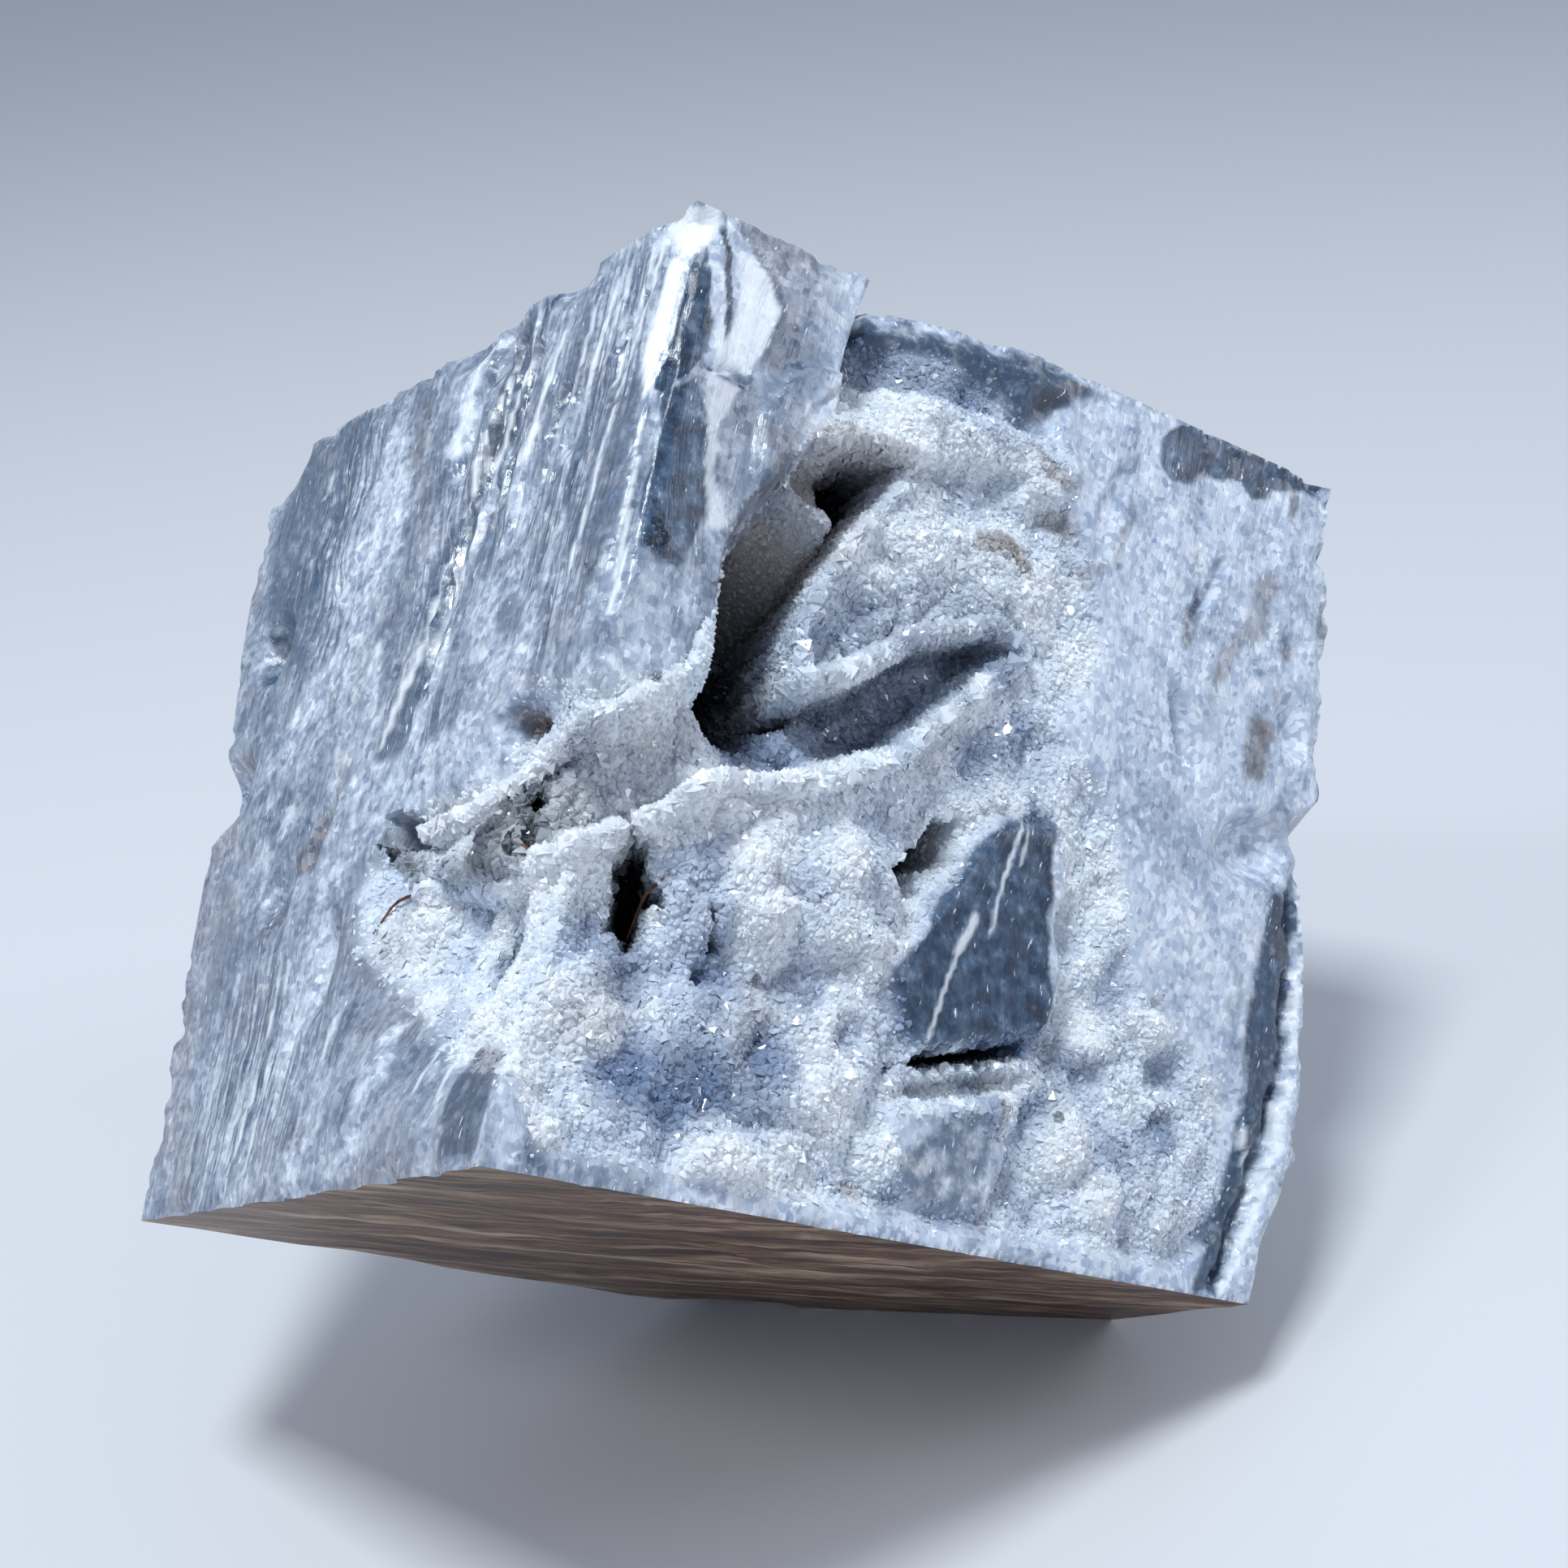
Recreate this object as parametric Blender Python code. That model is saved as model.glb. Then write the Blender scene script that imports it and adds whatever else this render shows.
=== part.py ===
"""A sphalerite geode: a cut block of banded chalcedony that stands on a cut-off corner.

Two faces look towards the front. The left one is polished. The right one is a broken druse, with a deep
pocket beside the ridge between them. The block is one solid. The quartz crust on the open face is another.
Metres, +Z up. The origin lies under the middle of the block, on the surface that it stands on.
"""

import bmesh
import bpy
import numpy as np

MM = 0.001

# The block, in mm: a slanting cube on one corner. FOOT is the corner that is cut off flat at z = 0
APEX = np.array([-1.3, -5.8, 99.7])
RIDGE_FOOT = np.array([-19.6, -57.0, 52.8])
LEFT_TOP = np.array([-42.3, 29.7, 71.7])
RIGHT_TOP = np.array([53.2, 22.3, 62.9])
LEFT_LOW = np.array([-53.2, -23.4, 26.7])
RIGHT_LOW = np.array([35.8, -24.6, 9.3])
BACK = np.array([15.4, 57.0, 32.5])
FOOT = np.array([9.4, 4.0, -15.8])
MIDDLE = (APEX + FOOT) / 2.0

# Steps of the facets across each face, and how much closer they lie around the pocket
LEFT_STEPS = 16
RIGHT_STEPS = 32
RIDGE_STEPS = 30
SKIRT_STEPS = 5
CROWDING = 1.3
CROWDING_BLEND = 0.1
# Where they are crowded, in shares of the left face from the ridge, the right face and the ridge's height
LEFT_CROWDED = (0.0, 0.35)
RIGHT_CROWDED = (0.06, 0.55)
RIDGE_CROWDED = (0.25, 0.85)
# How far points leave their rows, as a share of the spacing
SCATTER = 0.3
SCATTER_SEED = 5

# Blocks of random numbers that soft_noise repeats, and where a bump ends, in half sizes from its middle
LATTICE = 17
BUMP_END = 1.25

# The chart of the front, in mm: `across` is 0 on the ridge and grows to the right, `up` grows to the apex
RIDGE_LENGTH = 71.5
POCKET = [
    (13.7, 56.8), (18.5, 58.2), (24.4, 59.2), (23.4, 55.0), (21.2, 52.2), (18.8, 46.8), (18.0, 42.5),
    (18.6, 39.2), (22.6, 40.6), (29.2, 46.0), (35.6, 48.6), (38.6, 47.0), (33.8, 42.0), (28.9, 36.0),
    (21.3, 31.5), (12.7, 29.5), (7.2, 26.0), (0.4, 23.0), (-8.0, 21.6), (-20.0, 22.2), (-24.0, 25.5),
    (-10.6, 27.5), (-2.0, 29.5), (4.5, 33.0), (8.4, 37.0), (8.7, 41.7), (8.4, 47.4), (11.0, 52.0),
]
POCKET_LEVEL = 4.5
WALL_WIDTH = 1.8
# Deeper places of the pocket: across, up, half width, half height, depth
POCKET_WELLS = [(13.5, 43.0, 6.5, 9.5, 13.5), (18.0, 55.5, 6.5, 3.4, 6.0), (25.0, 38.5, 8.0, 4.5, 3.5)]
# Behind its rim the pocket widens by this share, to both sides of this place
POCKET_SPREAD = 0.4
POCKET_MIDDLE = 13.5
POCKET_DEEP = (3.0, 12.0)
# The broken ridge below the prow: across, up, half width, half height, depth
BROKEN_RIDGE = (-3.0, 18.5, 21.0, 13.0, 5.0)
# Near the ridge, depth runs towards a line inside the block, this far in
AIM_DEPTH = 30.0
# The white flap that hangs over the pocket's right side: across, up, half width and half height
FLAP = (24.0, 48.0, 14.0, 13.0)
# How far its rim reaches over the pocket, the way it points, and the width of that rim beside the outline
FLAP_REACH = 2.4
FLAP_WAY = (-0.85, -0.5)
FLAP_RIM = (-4.5, -0.5)
# The drop behind the sharp edge of the prow, and the crack that it ends in at the top
PROW_EDGE = [(8.6, 41.0), (8.4, 47.4), (11.0, 51.6), (13.7, 56.6), (15.2, 62.6), (16.4, 72.0)]
PROW_DROP = 4.2
PROW_DROP_WIDTH = 1.2
PROW_DROP_REACH = 11.0
PROW_DROP_START = (50.0, 54.0)
# Lobes and lumps that stand out, and pits that go in: across, up, half width, half height, turn, depth
LUMPS = [
    (22.5, 49.5, 8.0, 5.0, 30.0, -2.6), (33.0, 52.0, 9.0, 4.5, 20.0, -1.2), (20.0, 1.5, 5.0, 3.5, 0.0, -1.6),
    (40.0, 8.5, 7.0, 5.0, 10.0, -1.4), (56.0, 14.0, 6.0, 7.0, 0.0, -1.2), (66.0, 8.0, 6.0, 5.0, 0.0, -1.3),
    (3.0, 14.0, 5.0, 4.0, 0.0, -1.2), (15.0, 22.0, 6.0, 4.0, 0.0, -1.5), (26.0, 24.0, 5.0, 5.0, 0.0, -1.4),
    (12.0, 7.0, 6.0, 4.0, 20.0, -1.2), (30.0, 14.0, 4.0, 5.0, 0.0, -1.0), (6.0, 32.0, 4.0, 2.6, 20.0, -1.4),
]
PITS = [
    (7.0, 19.6, 1.9, 2.8, 10.0, 5.5), (-1.5, 24.0, 2.0, 1.3, 20.0, 3.0), (-20.0, 24.0, 2.2, 1.5, 0.0, 2.6),
    (32.8, 26.2, 2.2, 1.2, 50.0, 3.2), (15.5, 16.3, 1.2, 1.2, 0.0, 2.0), (41.0, 12.2, 7.5, 1.5, 15.0, 4.2),
    (17.4, 69.0, 1.3, 6.5, -10.0, 4.0), (58.0, 46.0, 1.3, 4.2, 30.0, 2.4), (69.5, 50.0, 1.6, 3.0, 20.0, 1.4),
    (68.0, 38.0, 4.5, 3.0, 20.0, 2.4), (49.0, 27.0, 2.0, 3.0, 0.0, 1.6), (53.0, 20.0, 3.0, 2.4, 0.0, 1.8),
    (-8.7, 32.8, 3.0, 1.6, 15.0, 3.0), (-24.5, 68.5, 1.6, 3.5, 0.0, 1.2), (-10.5, 57.0, 1.0, 3.2, 0.0, 1.0),
    (-53.0, 49.6, 2.4, 3.4, 0.0, 2.6), (-30.0, 18.0, 1.3, 5.0, 0.0, 1.0), (-41.0, 25.0, 2.0, 3.4, 0.0, 1.0),
]
# Bites out of the front's outline: across, up, half width, half height, depth
BITES = [
    (77.0, 41.0, 4.0, 3.2, 2.4), (78.0, 66.0, 3.0, 3.0, 2.6), (-56.0, 37.0, 3.6, 3.6, 2.4),
    (-15.5, 72.0, 3.0, 3.0, 1.4), (-29.0, 71.0, 4.5, 3.0, 1.0), (-60.0, 70.0, 4.0, 4.0, 2.4),
    (25.0, 73.0, 8.0, 4.0, 1.6),
]

# Where the druse grows, and the polished windows that it leaves bare, as outlines on the chart
DRUSE = [
    (9.2, 41.0), (9.4, 47.6), (12.0, 51.6), (14.6, 56.6), (16.2, 62.6), (17.5, 69.0), (30.0, 69.0),
    (38.0, 66.5), (42.0, 60.0), (47.0, 50.0), (44.0, 42.0), (52.0, 36.0), (57.0, 24.0), (63.0, 20.0),
    (70.0, 17.0), (72.0, 6.0), (68.0, 2.2), (40.0, 1.8), (4.0, 1.8), (1.0, 6.0), (-8.0, 8.0),
    (-17.0, 13.0), (-26.0, 18.5), (-27.0, 24.0), (-23.0, 27.5), (-10.0, 29.0), (-9.0, 35.5), (-1.0, 33.0),
    (6.0, 34.8),
]
WINDOWS = [
    [(39.0, 33.0), (45.5, 34.0), (49.0, 27.0), (48.5, 18.0), (35.5, 14.0), (31.0, 19.0), (35.0, 26.0)],
    [(33.5, 9.0), (42.0, 10.0), (46.0, 8.5), (45.0, 3.2), (36.5, 2.6)],
]
# How the druse begins at an outline, how deep it lies in the mean, and how it rolls
DRUSE_BORDER = (-0.8, 1.2)
DRUSE_LEVEL = 1.5
DRUSE_ROLL = 1.5
DRUSE_ROLL_SIZE = 7.5
DRUSE_ROLL_SEED = 4

# The crust, in mm: how thick it is, the gap under it, and how far its rim stays inside its cells
CRUST = 0.9
GAP = 0.35
CRUST_INSET = 0.18
# Its crystals: their height, that height's limit as a share of the cell, and where in the cell their tips lie
CRYSTAL_HEIGHT = (0.5, 1.5)
CRYSTAL_SHARE = 0.55
CRYSTAL_LEAN = (0.25, 0.75)
CRYSTAL_SEED = 21

# Chips along the sawn edges of the sides, in mm, the heights over which they begin, and how far they fade in
WEAR = 0.9
WEAR_SIZE = 9.0
WEAR_SEED = 8
WEAR_START = (0.5, 4.0)
SIDE_FADE = 4.0
# How far the front edge of the resting face is broken up the face above it: x and rise
BROKEN_EDGE = [(-20.0, 1.6), (-14.0, 1.9), (-9.5, 3.4), (-2.6, 2.2), (-1.4, 0.0)]
BROKEN_SLOPE = np.array([0.18, -1.0, 1.0])
BROKEN_FADE = 2.5
# The flat outline inside the resting face, as a share of the outer one
RESTING_RING = 0.72
# Small hollows on the sides: place in mm, radius and depth
SIDE_HOLLOWS = [
    (-14.0, 40.0, 64.0, 6.0, 1.6), (23.0, 30.0, 61.0, 5.0, 1.3), (-34.0, 28.0, 43.0, 6.0, 1.5),
    (38.0, 24.0, 31.0, 6.0, 1.8), (-14.0, 24.0, 26.0, 5.0, 1.2), (-8.0, -32.0, 26.0, 5.0, 1.0),
]

# Points closer than this, in mm, are one
WELD = 0.002

# Colours as linear red, green and blue, and the gloss of each surface
STONE_GREY = (0.30, 0.34, 0.41)
STONE_ROUGHNESS = 0.3
DRUSE_WHITE = (0.66, 0.70, 0.78)
DRUSE_ROUGHNESS = 0.25


def smooth(value, low, high):
    """0 below low, 1 above high, and a smooth S between them."""
    x = np.clip((value - low) / (high - low), 0.0, 1.0)
    return x * x * (3.0 - 2.0 * x)


def soft_noise(points, size, seed):
    """Noise from -1 to 1: random numbers on a lattice of this size, blended smoothly between its corners."""
    lattice = np.random.default_rng(seed).uniform(-1.0, 1.0, (LATTICE, LATTICE, LATTICE))
    place = points / size
    cell = np.floor(place).astype(int)
    part = place - cell
    part = part * part * (3.0 - 2.0 * part)
    total = 0.0
    for corner in np.ndindex(2, 2, 2):
        weight = np.prod(np.where(corner, part, 1.0 - part), axis=-1)
        index = (cell + corner) % LATTICE
        total = total + weight * lattice[index[..., 0], index[..., 1], index[..., 2]]
    return total


def outline_distance(across, up, outline):
    """Distance to a closed outline: negative inside it."""
    nearest = np.full(np.shape(across), np.inf)
    inside = np.zeros(np.shape(across), bool)
    for (x0, y0), (x1, y1) in zip(outline, outline[1:] + outline[:1]):
        dx, dy = x1 - x0, y1 - y0
        along = np.clip(((across - x0) * dx + (up - y0) * dy) / (dx * dx + dy * dy), 0.0, 1.0)
        nearest = np.minimum(nearest, np.hypot(across - x0 - along * dx, up - y0 - along * dy))
        if dy:
            crosses = ((y0 > up) != (y1 > up)) & (across < x0 + (up - y0) * dx / dy)
            inside ^= crosses
    return np.where(inside, -nearest, nearest)


def bump(across, up, x, y, half_width, half_height, turn=0.0):
    """1 at a place and falling smoothly to nothing at an ellipse around it, turned by `turn` degrees."""
    c, s = np.cos(np.radians(turn)), np.sin(np.radians(turn))
    a = ((across - x) * c + (up - y) * s) / half_width
    b = ((up - y) * c - (across - x) * s) / half_height
    return smooth(BUMP_END - np.hypot(a, b), 0.0, 1.0)


def crowded(steps, start, end):
    """Parameters from 0 to 1 that lie closer together between start and end."""
    x = np.linspace(0.0, 1.0, 400)
    inside = smooth(x, start - CROWDING_BLEND, start) * (1.0 - smooth(x, end, end + CROWDING_BLEND))
    density = 1.0 + CROWDING * inside
    total = np.concatenate([[0.0], np.cumsum((density[1:] + density[:-1]) / 2.0)])
    return np.interp(np.linspace(0.0, total[-1], steps + 1), total, x)


def patch(low_left, low_right, top_left, top_right, x, y):
    """A four-cornered face as a grid: straight lines between straight edges."""
    x, y = x[:, None, None], y[None, :, None]
    low = low_left * (1.0 - x) + low_right * x
    return low * (1.0 - y) + (top_left * (1.0 - x) + top_right * x) * y


def scattered(grid):
    """Moves the inner points of a face's grid off their rows, along the face, so that no facets line up."""
    shift = np.random.default_rng(SCATTER_SEED).uniform(-SCATTER, SCATTER, (2,) + grid.shape[:2] + (1,))
    shift[:, [0, -1]] = 0.0
    shift[:, :, [0, -1]] = 0.0
    return grid + np.gradient(grid, axis=0) * shift[0] + np.gradient(grid, axis=1) * shift[1]


def unit(vector):
    """The direction of each vector."""
    return vector / np.linalg.norm(vector, axis=-1, keepdims=True)


def face_axes(corner, beside, above, opposite):
    """Directions along a face, up it and out of it."""
    out = unit(np.cross(opposite - corner, above - beside))
    along = beside - corner
    along = unit(along - out * (along @ out))
    return along, np.cross(out, along), out


def chart(points, corner_beside, corner_above_beside):
    """Distance from the ridge and height up the ridge of points on one of the two front faces."""
    along, up, _ = face_axes(RIDGE_FOOT, corner_beside, APEX, corner_above_beside)
    if up @ (APEX - RIDGE_FOOT) < 0:
        up = -up
    ridge = APEX - RIDGE_FOOT
    height = (points - RIDGE_FOOT) @ up
    aside = (points - RIDGE_FOOT) @ along - height * (ridge @ along) / (ridge @ up)
    return aside, height * RIDGE_LENGTH / (ridge @ up)


def front_sheet():
    """The left and right front faces as one grid, with its chart and its outward directions."""
    to_ridge = 1.0 - crowded(LEFT_STEPS, *LEFT_CROWDED)[::-1]
    from_ridge = crowded(RIGHT_STEPS, *RIGHT_CROWDED)
    height = crowded(RIDGE_STEPS, *RIDGE_CROWDED)
    left = scattered(patch(LEFT_LOW, RIDGE_FOOT, LEFT_TOP, APEX, to_ridge, height))
    right = scattered(patch(RIDGE_FOOT, RIGHT_LOW, APEX, RIGHT_TOP, from_ridge, height))
    left_aside, left_up = chart(left, LEFT_LOW, LEFT_TOP)
    right_aside, right_up = chart(right, RIGHT_LOW, RIGHT_TOP)
    points = np.concatenate([left, right[1:]])
    across = np.concatenate([-left_aside, right_aside[1:]])
    up = np.concatenate([left_up, right_up[1:]])
    left_out = -face_axes(RIDGE_FOOT, LEFT_LOW, APEX, LEFT_TOP)[2]
    right_out = face_axes(RIDGE_FOOT, RIGHT_LOW, APEX, RIGHT_TOP)[2]
    on_ridge = RIDGE_FOOT + (APEX - RIDGE_FOOT) * (up / RIDGE_LENGTH)[..., None]
    from_inside = unit(points - on_ridge + unit(left_out + right_out) * AIM_DEPTH)
    face_out = np.where((across < 0.0)[..., None], left_out, right_out)
    near_ridge = (np.abs(across) < AIM_DEPTH / np.sqrt(2.0))[..., None]
    out = np.where(near_ridge, from_inside, face_out)
    return points, across, up, out, (to_ridge, from_ridge, height)


def druse_share(across, up):
    """1 where druse grows, 0 where the stone is bare and polished."""
    grown = smooth(-outline_distance(across, up, DRUSE), *DRUSE_BORDER)
    for window in WINDOWS:
        grown = grown * smooth(outline_distance(across, up, window), *DRUSE_BORDER)
    return grown


def relief(points, across, up):
    """Depth of the front below its two planes, in mm."""
    inside = -outline_distance(across, up, POCKET)
    hollow = np.full_like(across, POCKET_LEVEL)
    for x, y, half_width, half_height, depth in POCKET_WELLS:
        hollow = hollow + depth * bump(across, up, x, y, half_width, half_height)
    depth = hollow * smooth(inside, 0.0, WALL_WIDTH)
    x, y, half_width, half_height, broken = BROKEN_RIDGE
    depth = depth + broken * bump(across, up, x, y, half_width, half_height)
    edge_across = np.interp(up, [p[1] for p in PROW_EDGE], [p[0] for p in PROW_EDGE])
    beyond = across - edge_across
    drop = smooth(beyond, 0.0, PROW_DROP_WIDTH) * smooth(PROW_DROP_REACH - beyond, 0.0, PROW_DROP_REACH)
    outside_pocket = 1.0 - smooth(inside, -WALL_WIDTH, 0.0)
    depth = depth + PROW_DROP * drop * smooth(up, *PROW_DROP_START) * outside_pocket
    rolling = DRUSE_LEVEL + DRUSE_ROLL * soft_noise(points, DRUSE_ROLL_SIZE, DRUSE_ROLL_SEED)
    depth = depth + druse_share(across, up) * outside_pocket * np.maximum(rolling, 0.0)
    for x, y, half_width, half_height, turn, pit in PITS:
        depth = depth + pit * bump(across, up, x, y, half_width, half_height, turn)
    for x, y, half_width, half_height, turn, lump in LUMPS:
        depth = depth + lump * bump(across, up, x, y, half_width, half_height, turn) * outside_pocket
    for x, y, half_width, half_height, bite in BITES:
        depth = depth + bite * bump(across, up, x, y, half_width, half_height)
    return np.maximum(depth, 0.0)


def shaped_front(points, across, up, out):
    """The front as it is broken: sunk by its relief, wider behind the pocket's rim, narrower at the flap."""
    inside = -outline_distance(across, up, POCKET)
    depth = relief(points, across, up)
    outside = 1.0 - smooth(inside, 0.0, WALL_WIDTH / 2.0)
    at_rim = FLAP_REACH * smooth(inside, *FLAP_RIM) * outside * bump(across, up, *FLAP)
    along = face_axes(RIDGE_FOOT, RIGHT_LOW, APEX, RIGHT_TOP)[0]
    reach = along * FLAP_WAY[0] + unit(APEX - RIDGE_FOOT) * FLAP_WAY[1]
    behind_rim = smooth(inside, 0.0, WALL_WIDTH) * smooth(depth, *POCKET_DEEP)
    aside = POCKET_SPREAD * (across - POCKET_MIDDLE) * behind_rim
    return points - out * depth[..., None] + reach * at_rim[..., None] + along * aside[..., None]


def sheet_normals(grid):
    """Outward directions at the points of a grid."""
    return unit(np.cross(np.gradient(grid, axis=0), np.gradient(grid, axis=1)))


def outward(grid):
    """Directions out of the block at the points of one of its faces."""
    normals = sheet_normals(grid)
    return normals * np.sign(np.mean(np.sum(normals * (grid - MIDDLE), axis=-1)))


def cut_point(corner):
    """Where the edge from a corner to FOOT meets the resting plane."""
    return FOOT + (corner - FOOT) * (-FOOT[2] / (corner[2] - FOOT[2]))


def wear(points):
    """How far the points of a sawn edge are chipped inwards, and its broken place is raised."""
    chips = WEAR * np.clip(soft_noise(points, WEAR_SIZE, WEAR_SEED), 0.0, 1.0)
    moves = unit(MIDDLE - points) * (chips * smooth(points[..., 2], *WEAR_START))[..., None]
    start, end = cut_point(LEFT_LOW), cut_point(RIGHT_LOW)
    off_edge = np.linalg.norm(np.cross(points - start, unit(end - start)), axis=-1)
    rise = np.interp(points[..., 0], [x for x, _ in BROKEN_EDGE], [rise for _, rise in BROKEN_EDGE])
    return moves + BROKEN_SLOPE * (rise * np.exp(-off_edge / BROKEN_FADE))[..., None]


def edge_moves(points, start_move):
    """Wear along an edge that leaves the front at its first point and takes over that point's own move."""
    away = np.exp(-np.linalg.norm(points - points[0], axis=-1) / SIDE_FADE)[:, None]
    moves = wear(points)
    return moves + (start_move - moves[0]) * away


def carry_edges(grid, low, high, first, last):
    """Moves a face's four edges by the given amounts, which fade out into the face within a few mm."""
    fades = []
    for axis in (1, 0):
        step = np.linalg.norm(np.diff(grid, axis=axis), axis=-1)
        reach = np.cumsum(np.insert(step, 0, 0.0, axis=axis), axis=axis)
        ends = np.take(reach, [-1], axis=axis)
        fades.append(np.exp(-reach / SIDE_FADE) * (reach < ends))
        fades.append(np.exp((reach - ends) / SIDE_FADE) * (reach > 0.0))
    at_low, at_high, at_first, at_last = (fade[..., None] for fade in fades)
    moved = low[:, None] * at_low + high[:, None] * at_high + first[None] * at_first + last[None] * at_last
    twice_low = at_low * (low[0] * at_first + low[-1] * at_last)
    twice_high = at_high * (high[0] * at_first + high[-1] * at_last)
    return grid + moved - twice_low - twice_high


def with_hollows(grid):
    """A sawn side with its shallow hollows, which fade to nothing at its edges."""
    depth = np.zeros(grid.shape[:2])
    for x, y, z, radius, deep in SIDE_HOLLOWS:
        distance = np.linalg.norm(grid - np.array([x, y, z]), axis=-1)
        depth = depth + deep * smooth(radius - distance, 0.0, radius)
    depth[[0, -1]] = 0.0
    depth[:, [0, -1]] = 0.0
    return grid - outward(grid) * depth[..., None]


def skirt(start, bend, end, first, second):
    """A side face with its lowest corner cut off: straight lines from its two upper edges to the cut edge."""
    upper = np.concatenate([start + (bend - start) * first[:, None], bend + (end - bend) * second[1:, None]])
    share = np.concatenate([first, 1.0 + second[1:]])[:, None] / 2.0
    lower = cut_point(start) + (cut_point(end) - cut_point(start)) * share
    fall = np.linspace(0.0, 1.0, SKIRT_STEPS + 1)[None, :, None]
    return upper[:, None] * (1.0 - fall) + lower[:, None] * fall


def sides(base, sheet, steps):
    """The roof and the three skirts, each meeting its neighbours along the same moved edges."""
    to_ridge, from_ridge, height = steps
    moved = sheet - base
    ridge = LEFT_STEPS
    from_apex = 1.0 - to_ridge[::-1]
    roof = patch(APEX, LEFT_TOP, RIGHT_TOP, BACK, from_apex, from_ridge)
    front = skirt(LEFT_LOW, RIDGE_FOOT, RIGHT_LOW, to_ridge, from_ridge)
    left = skirt(LEFT_LOW, LEFT_TOP, BACK, height, from_ridge)
    right = skirt(RIGHT_LOW, RIGHT_TOP, BACK, height, from_apex)
    left_back = edge_moves(roof[-1], moved[0, -1])
    right_back = edge_moves(roof[:, -1], moved[-1, -1])
    left_foot = edge_moves(front[0], moved[0, 0])
    right_foot = edge_moves(front[-1], moved[-1, 0])
    back_foot = wear(left[-1])
    roof = carry_edges(with_hollows(roof), moved[ridge::-1, -1], right_back, moved[ridge:, -1], left_back)
    front = carry_edges(with_hollows(front), moved[:, 0], wear(front[:, -1]), left_foot, right_foot)
    left_top = np.concatenate([moved[0], left_back[1:]])
    left = carry_edges(with_hollows(left), left_top, wear(left[:, -1]), left_foot, back_foot)
    right_top = np.concatenate([moved[-1], right_back[1:]])
    right = carry_edges(with_hollows(right), right_top, wear(right[:, -1]), right_foot, back_foot)
    return roof, front, left, right


def resting_rings(front, left, right):
    """The outline of the resting face, and a smaller flat one inside it."""
    outline = np.concatenate([front[:-1, -1], right[:-1, -1], left[:0:-1, -1]])
    corners = np.array([cut_point(corner) for corner in (LEFT_LOW, RIGHT_LOW, BACK)])
    middle = corners.mean(axis=0)
    inner = middle + (outline - middle) * RESTING_RING
    inner[:, 2] = 0.0
    return outline, inner


def add_grid(mesh, grid):
    """Puts a grid of points in mm into a bmesh as triangles."""
    rows = [[mesh.verts.new(tuple(point * MM)) for point in row] for row in grid]
    for a, b in zip(rows, rows[1:]):
        for k in range(len(a) - 1):
            mesh.faces.new((a[k], b[k], b[k + 1]))
            mesh.faces.new((a[k], b[k + 1], a[k + 1]))


def add_resting_face(mesh, outline, inner):
    """The flat underside: a band between two outlines, and a cap inside the smaller one."""
    outer = [mesh.verts.new(tuple(point * MM)) for point in outline]
    ring = [mesh.verts.new(tuple(point * MM)) for point in inner]
    for k in range(len(outer)):
        mesh.faces.new((outer[k - 1], outer[k], ring[k]))
        mesh.faces.new((outer[k - 1], ring[k], ring[k - 1]))
    bmesh.ops.triangulate(mesh, faces=[mesh.faces.new(ring)])


def finish_object(mesh, name, paint):
    """Closes the seams of a bmesh, turns its faces outwards and makes it an object."""
    bmesh.ops.remove_doubles(mesh, verts=mesh.verts, dist=WELD * MM)
    bmesh.ops.recalc_face_normals(mesh, faces=mesh.faces)
    data = bpy.data.meshes.new(name)
    mesh.to_mesh(data)
    mesh.free()
    data.materials.append(paint)
    made = bpy.data.objects.new(name, data)
    bpy.context.scene.collection.objects.link(made)
    print(name, len(data.polygons), "faces")
    return made


def material(name, colour, roughness):
    """A plain Principled material."""
    made = bpy.data.materials.new(name)
    made.use_nodes = True
    shader = made.node_tree.nodes["Principled BSDF"]
    shader.inputs["Base Color"].default_value = (*colour, 1.0)
    shader.inputs["Roughness"].default_value = roughness
    shader.inputs["Metallic"].default_value = 0.0
    return made


def crust_cells(across, up):
    """The grid's cells that carry crust: one patch, with no two cells that meet only at a corner."""
    middle_across = (across[1:, 1:] + across[:-1, :-1]) / 2.0
    middle_up = (up[1:, 1:] + up[:-1, :-1]) / 2.0
    cells = druse_share(middle_across, middle_up) > 0.5
    cells[[0, -1]] = False
    cells[:, [0, -1]] = False
    a, b, c, d = cells[:-1, :-1], cells[1:, :-1], cells[:-1, 1:], cells[1:, 1:]
    fill = np.ones(1, bool)
    while fill.any():
        fill = (a & d & ~b & ~c) | (b & c & ~a & ~d)
        for corner in (a, b, c, d):
            corner |= fill
    in_pocket = np.hypot(middle_across - POCKET_WELLS[0][0], middle_up - POCKET_WELLS[0][1])
    reached = in_pocket == in_pocket.min()
    while True:
        grown = reached.copy()
        grown[1:] |= reached[:-1]
        grown[:-1] |= reached[1:]
        grown[:, 1:] |= reached[:, :-1]
        grown[:, :-1] |= reached[:, 1:]
        grown &= cells
        if (grown == reached).all():
            return reached
        reached = grown


def corner_counts(cells):
    """How many crust cells touch each point of the grid."""
    return sum(np.pad(cells.astype(int), ((i, 1 - i), (j, 1 - j))) for i in (0, 1) for j in (0, 1))


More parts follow.
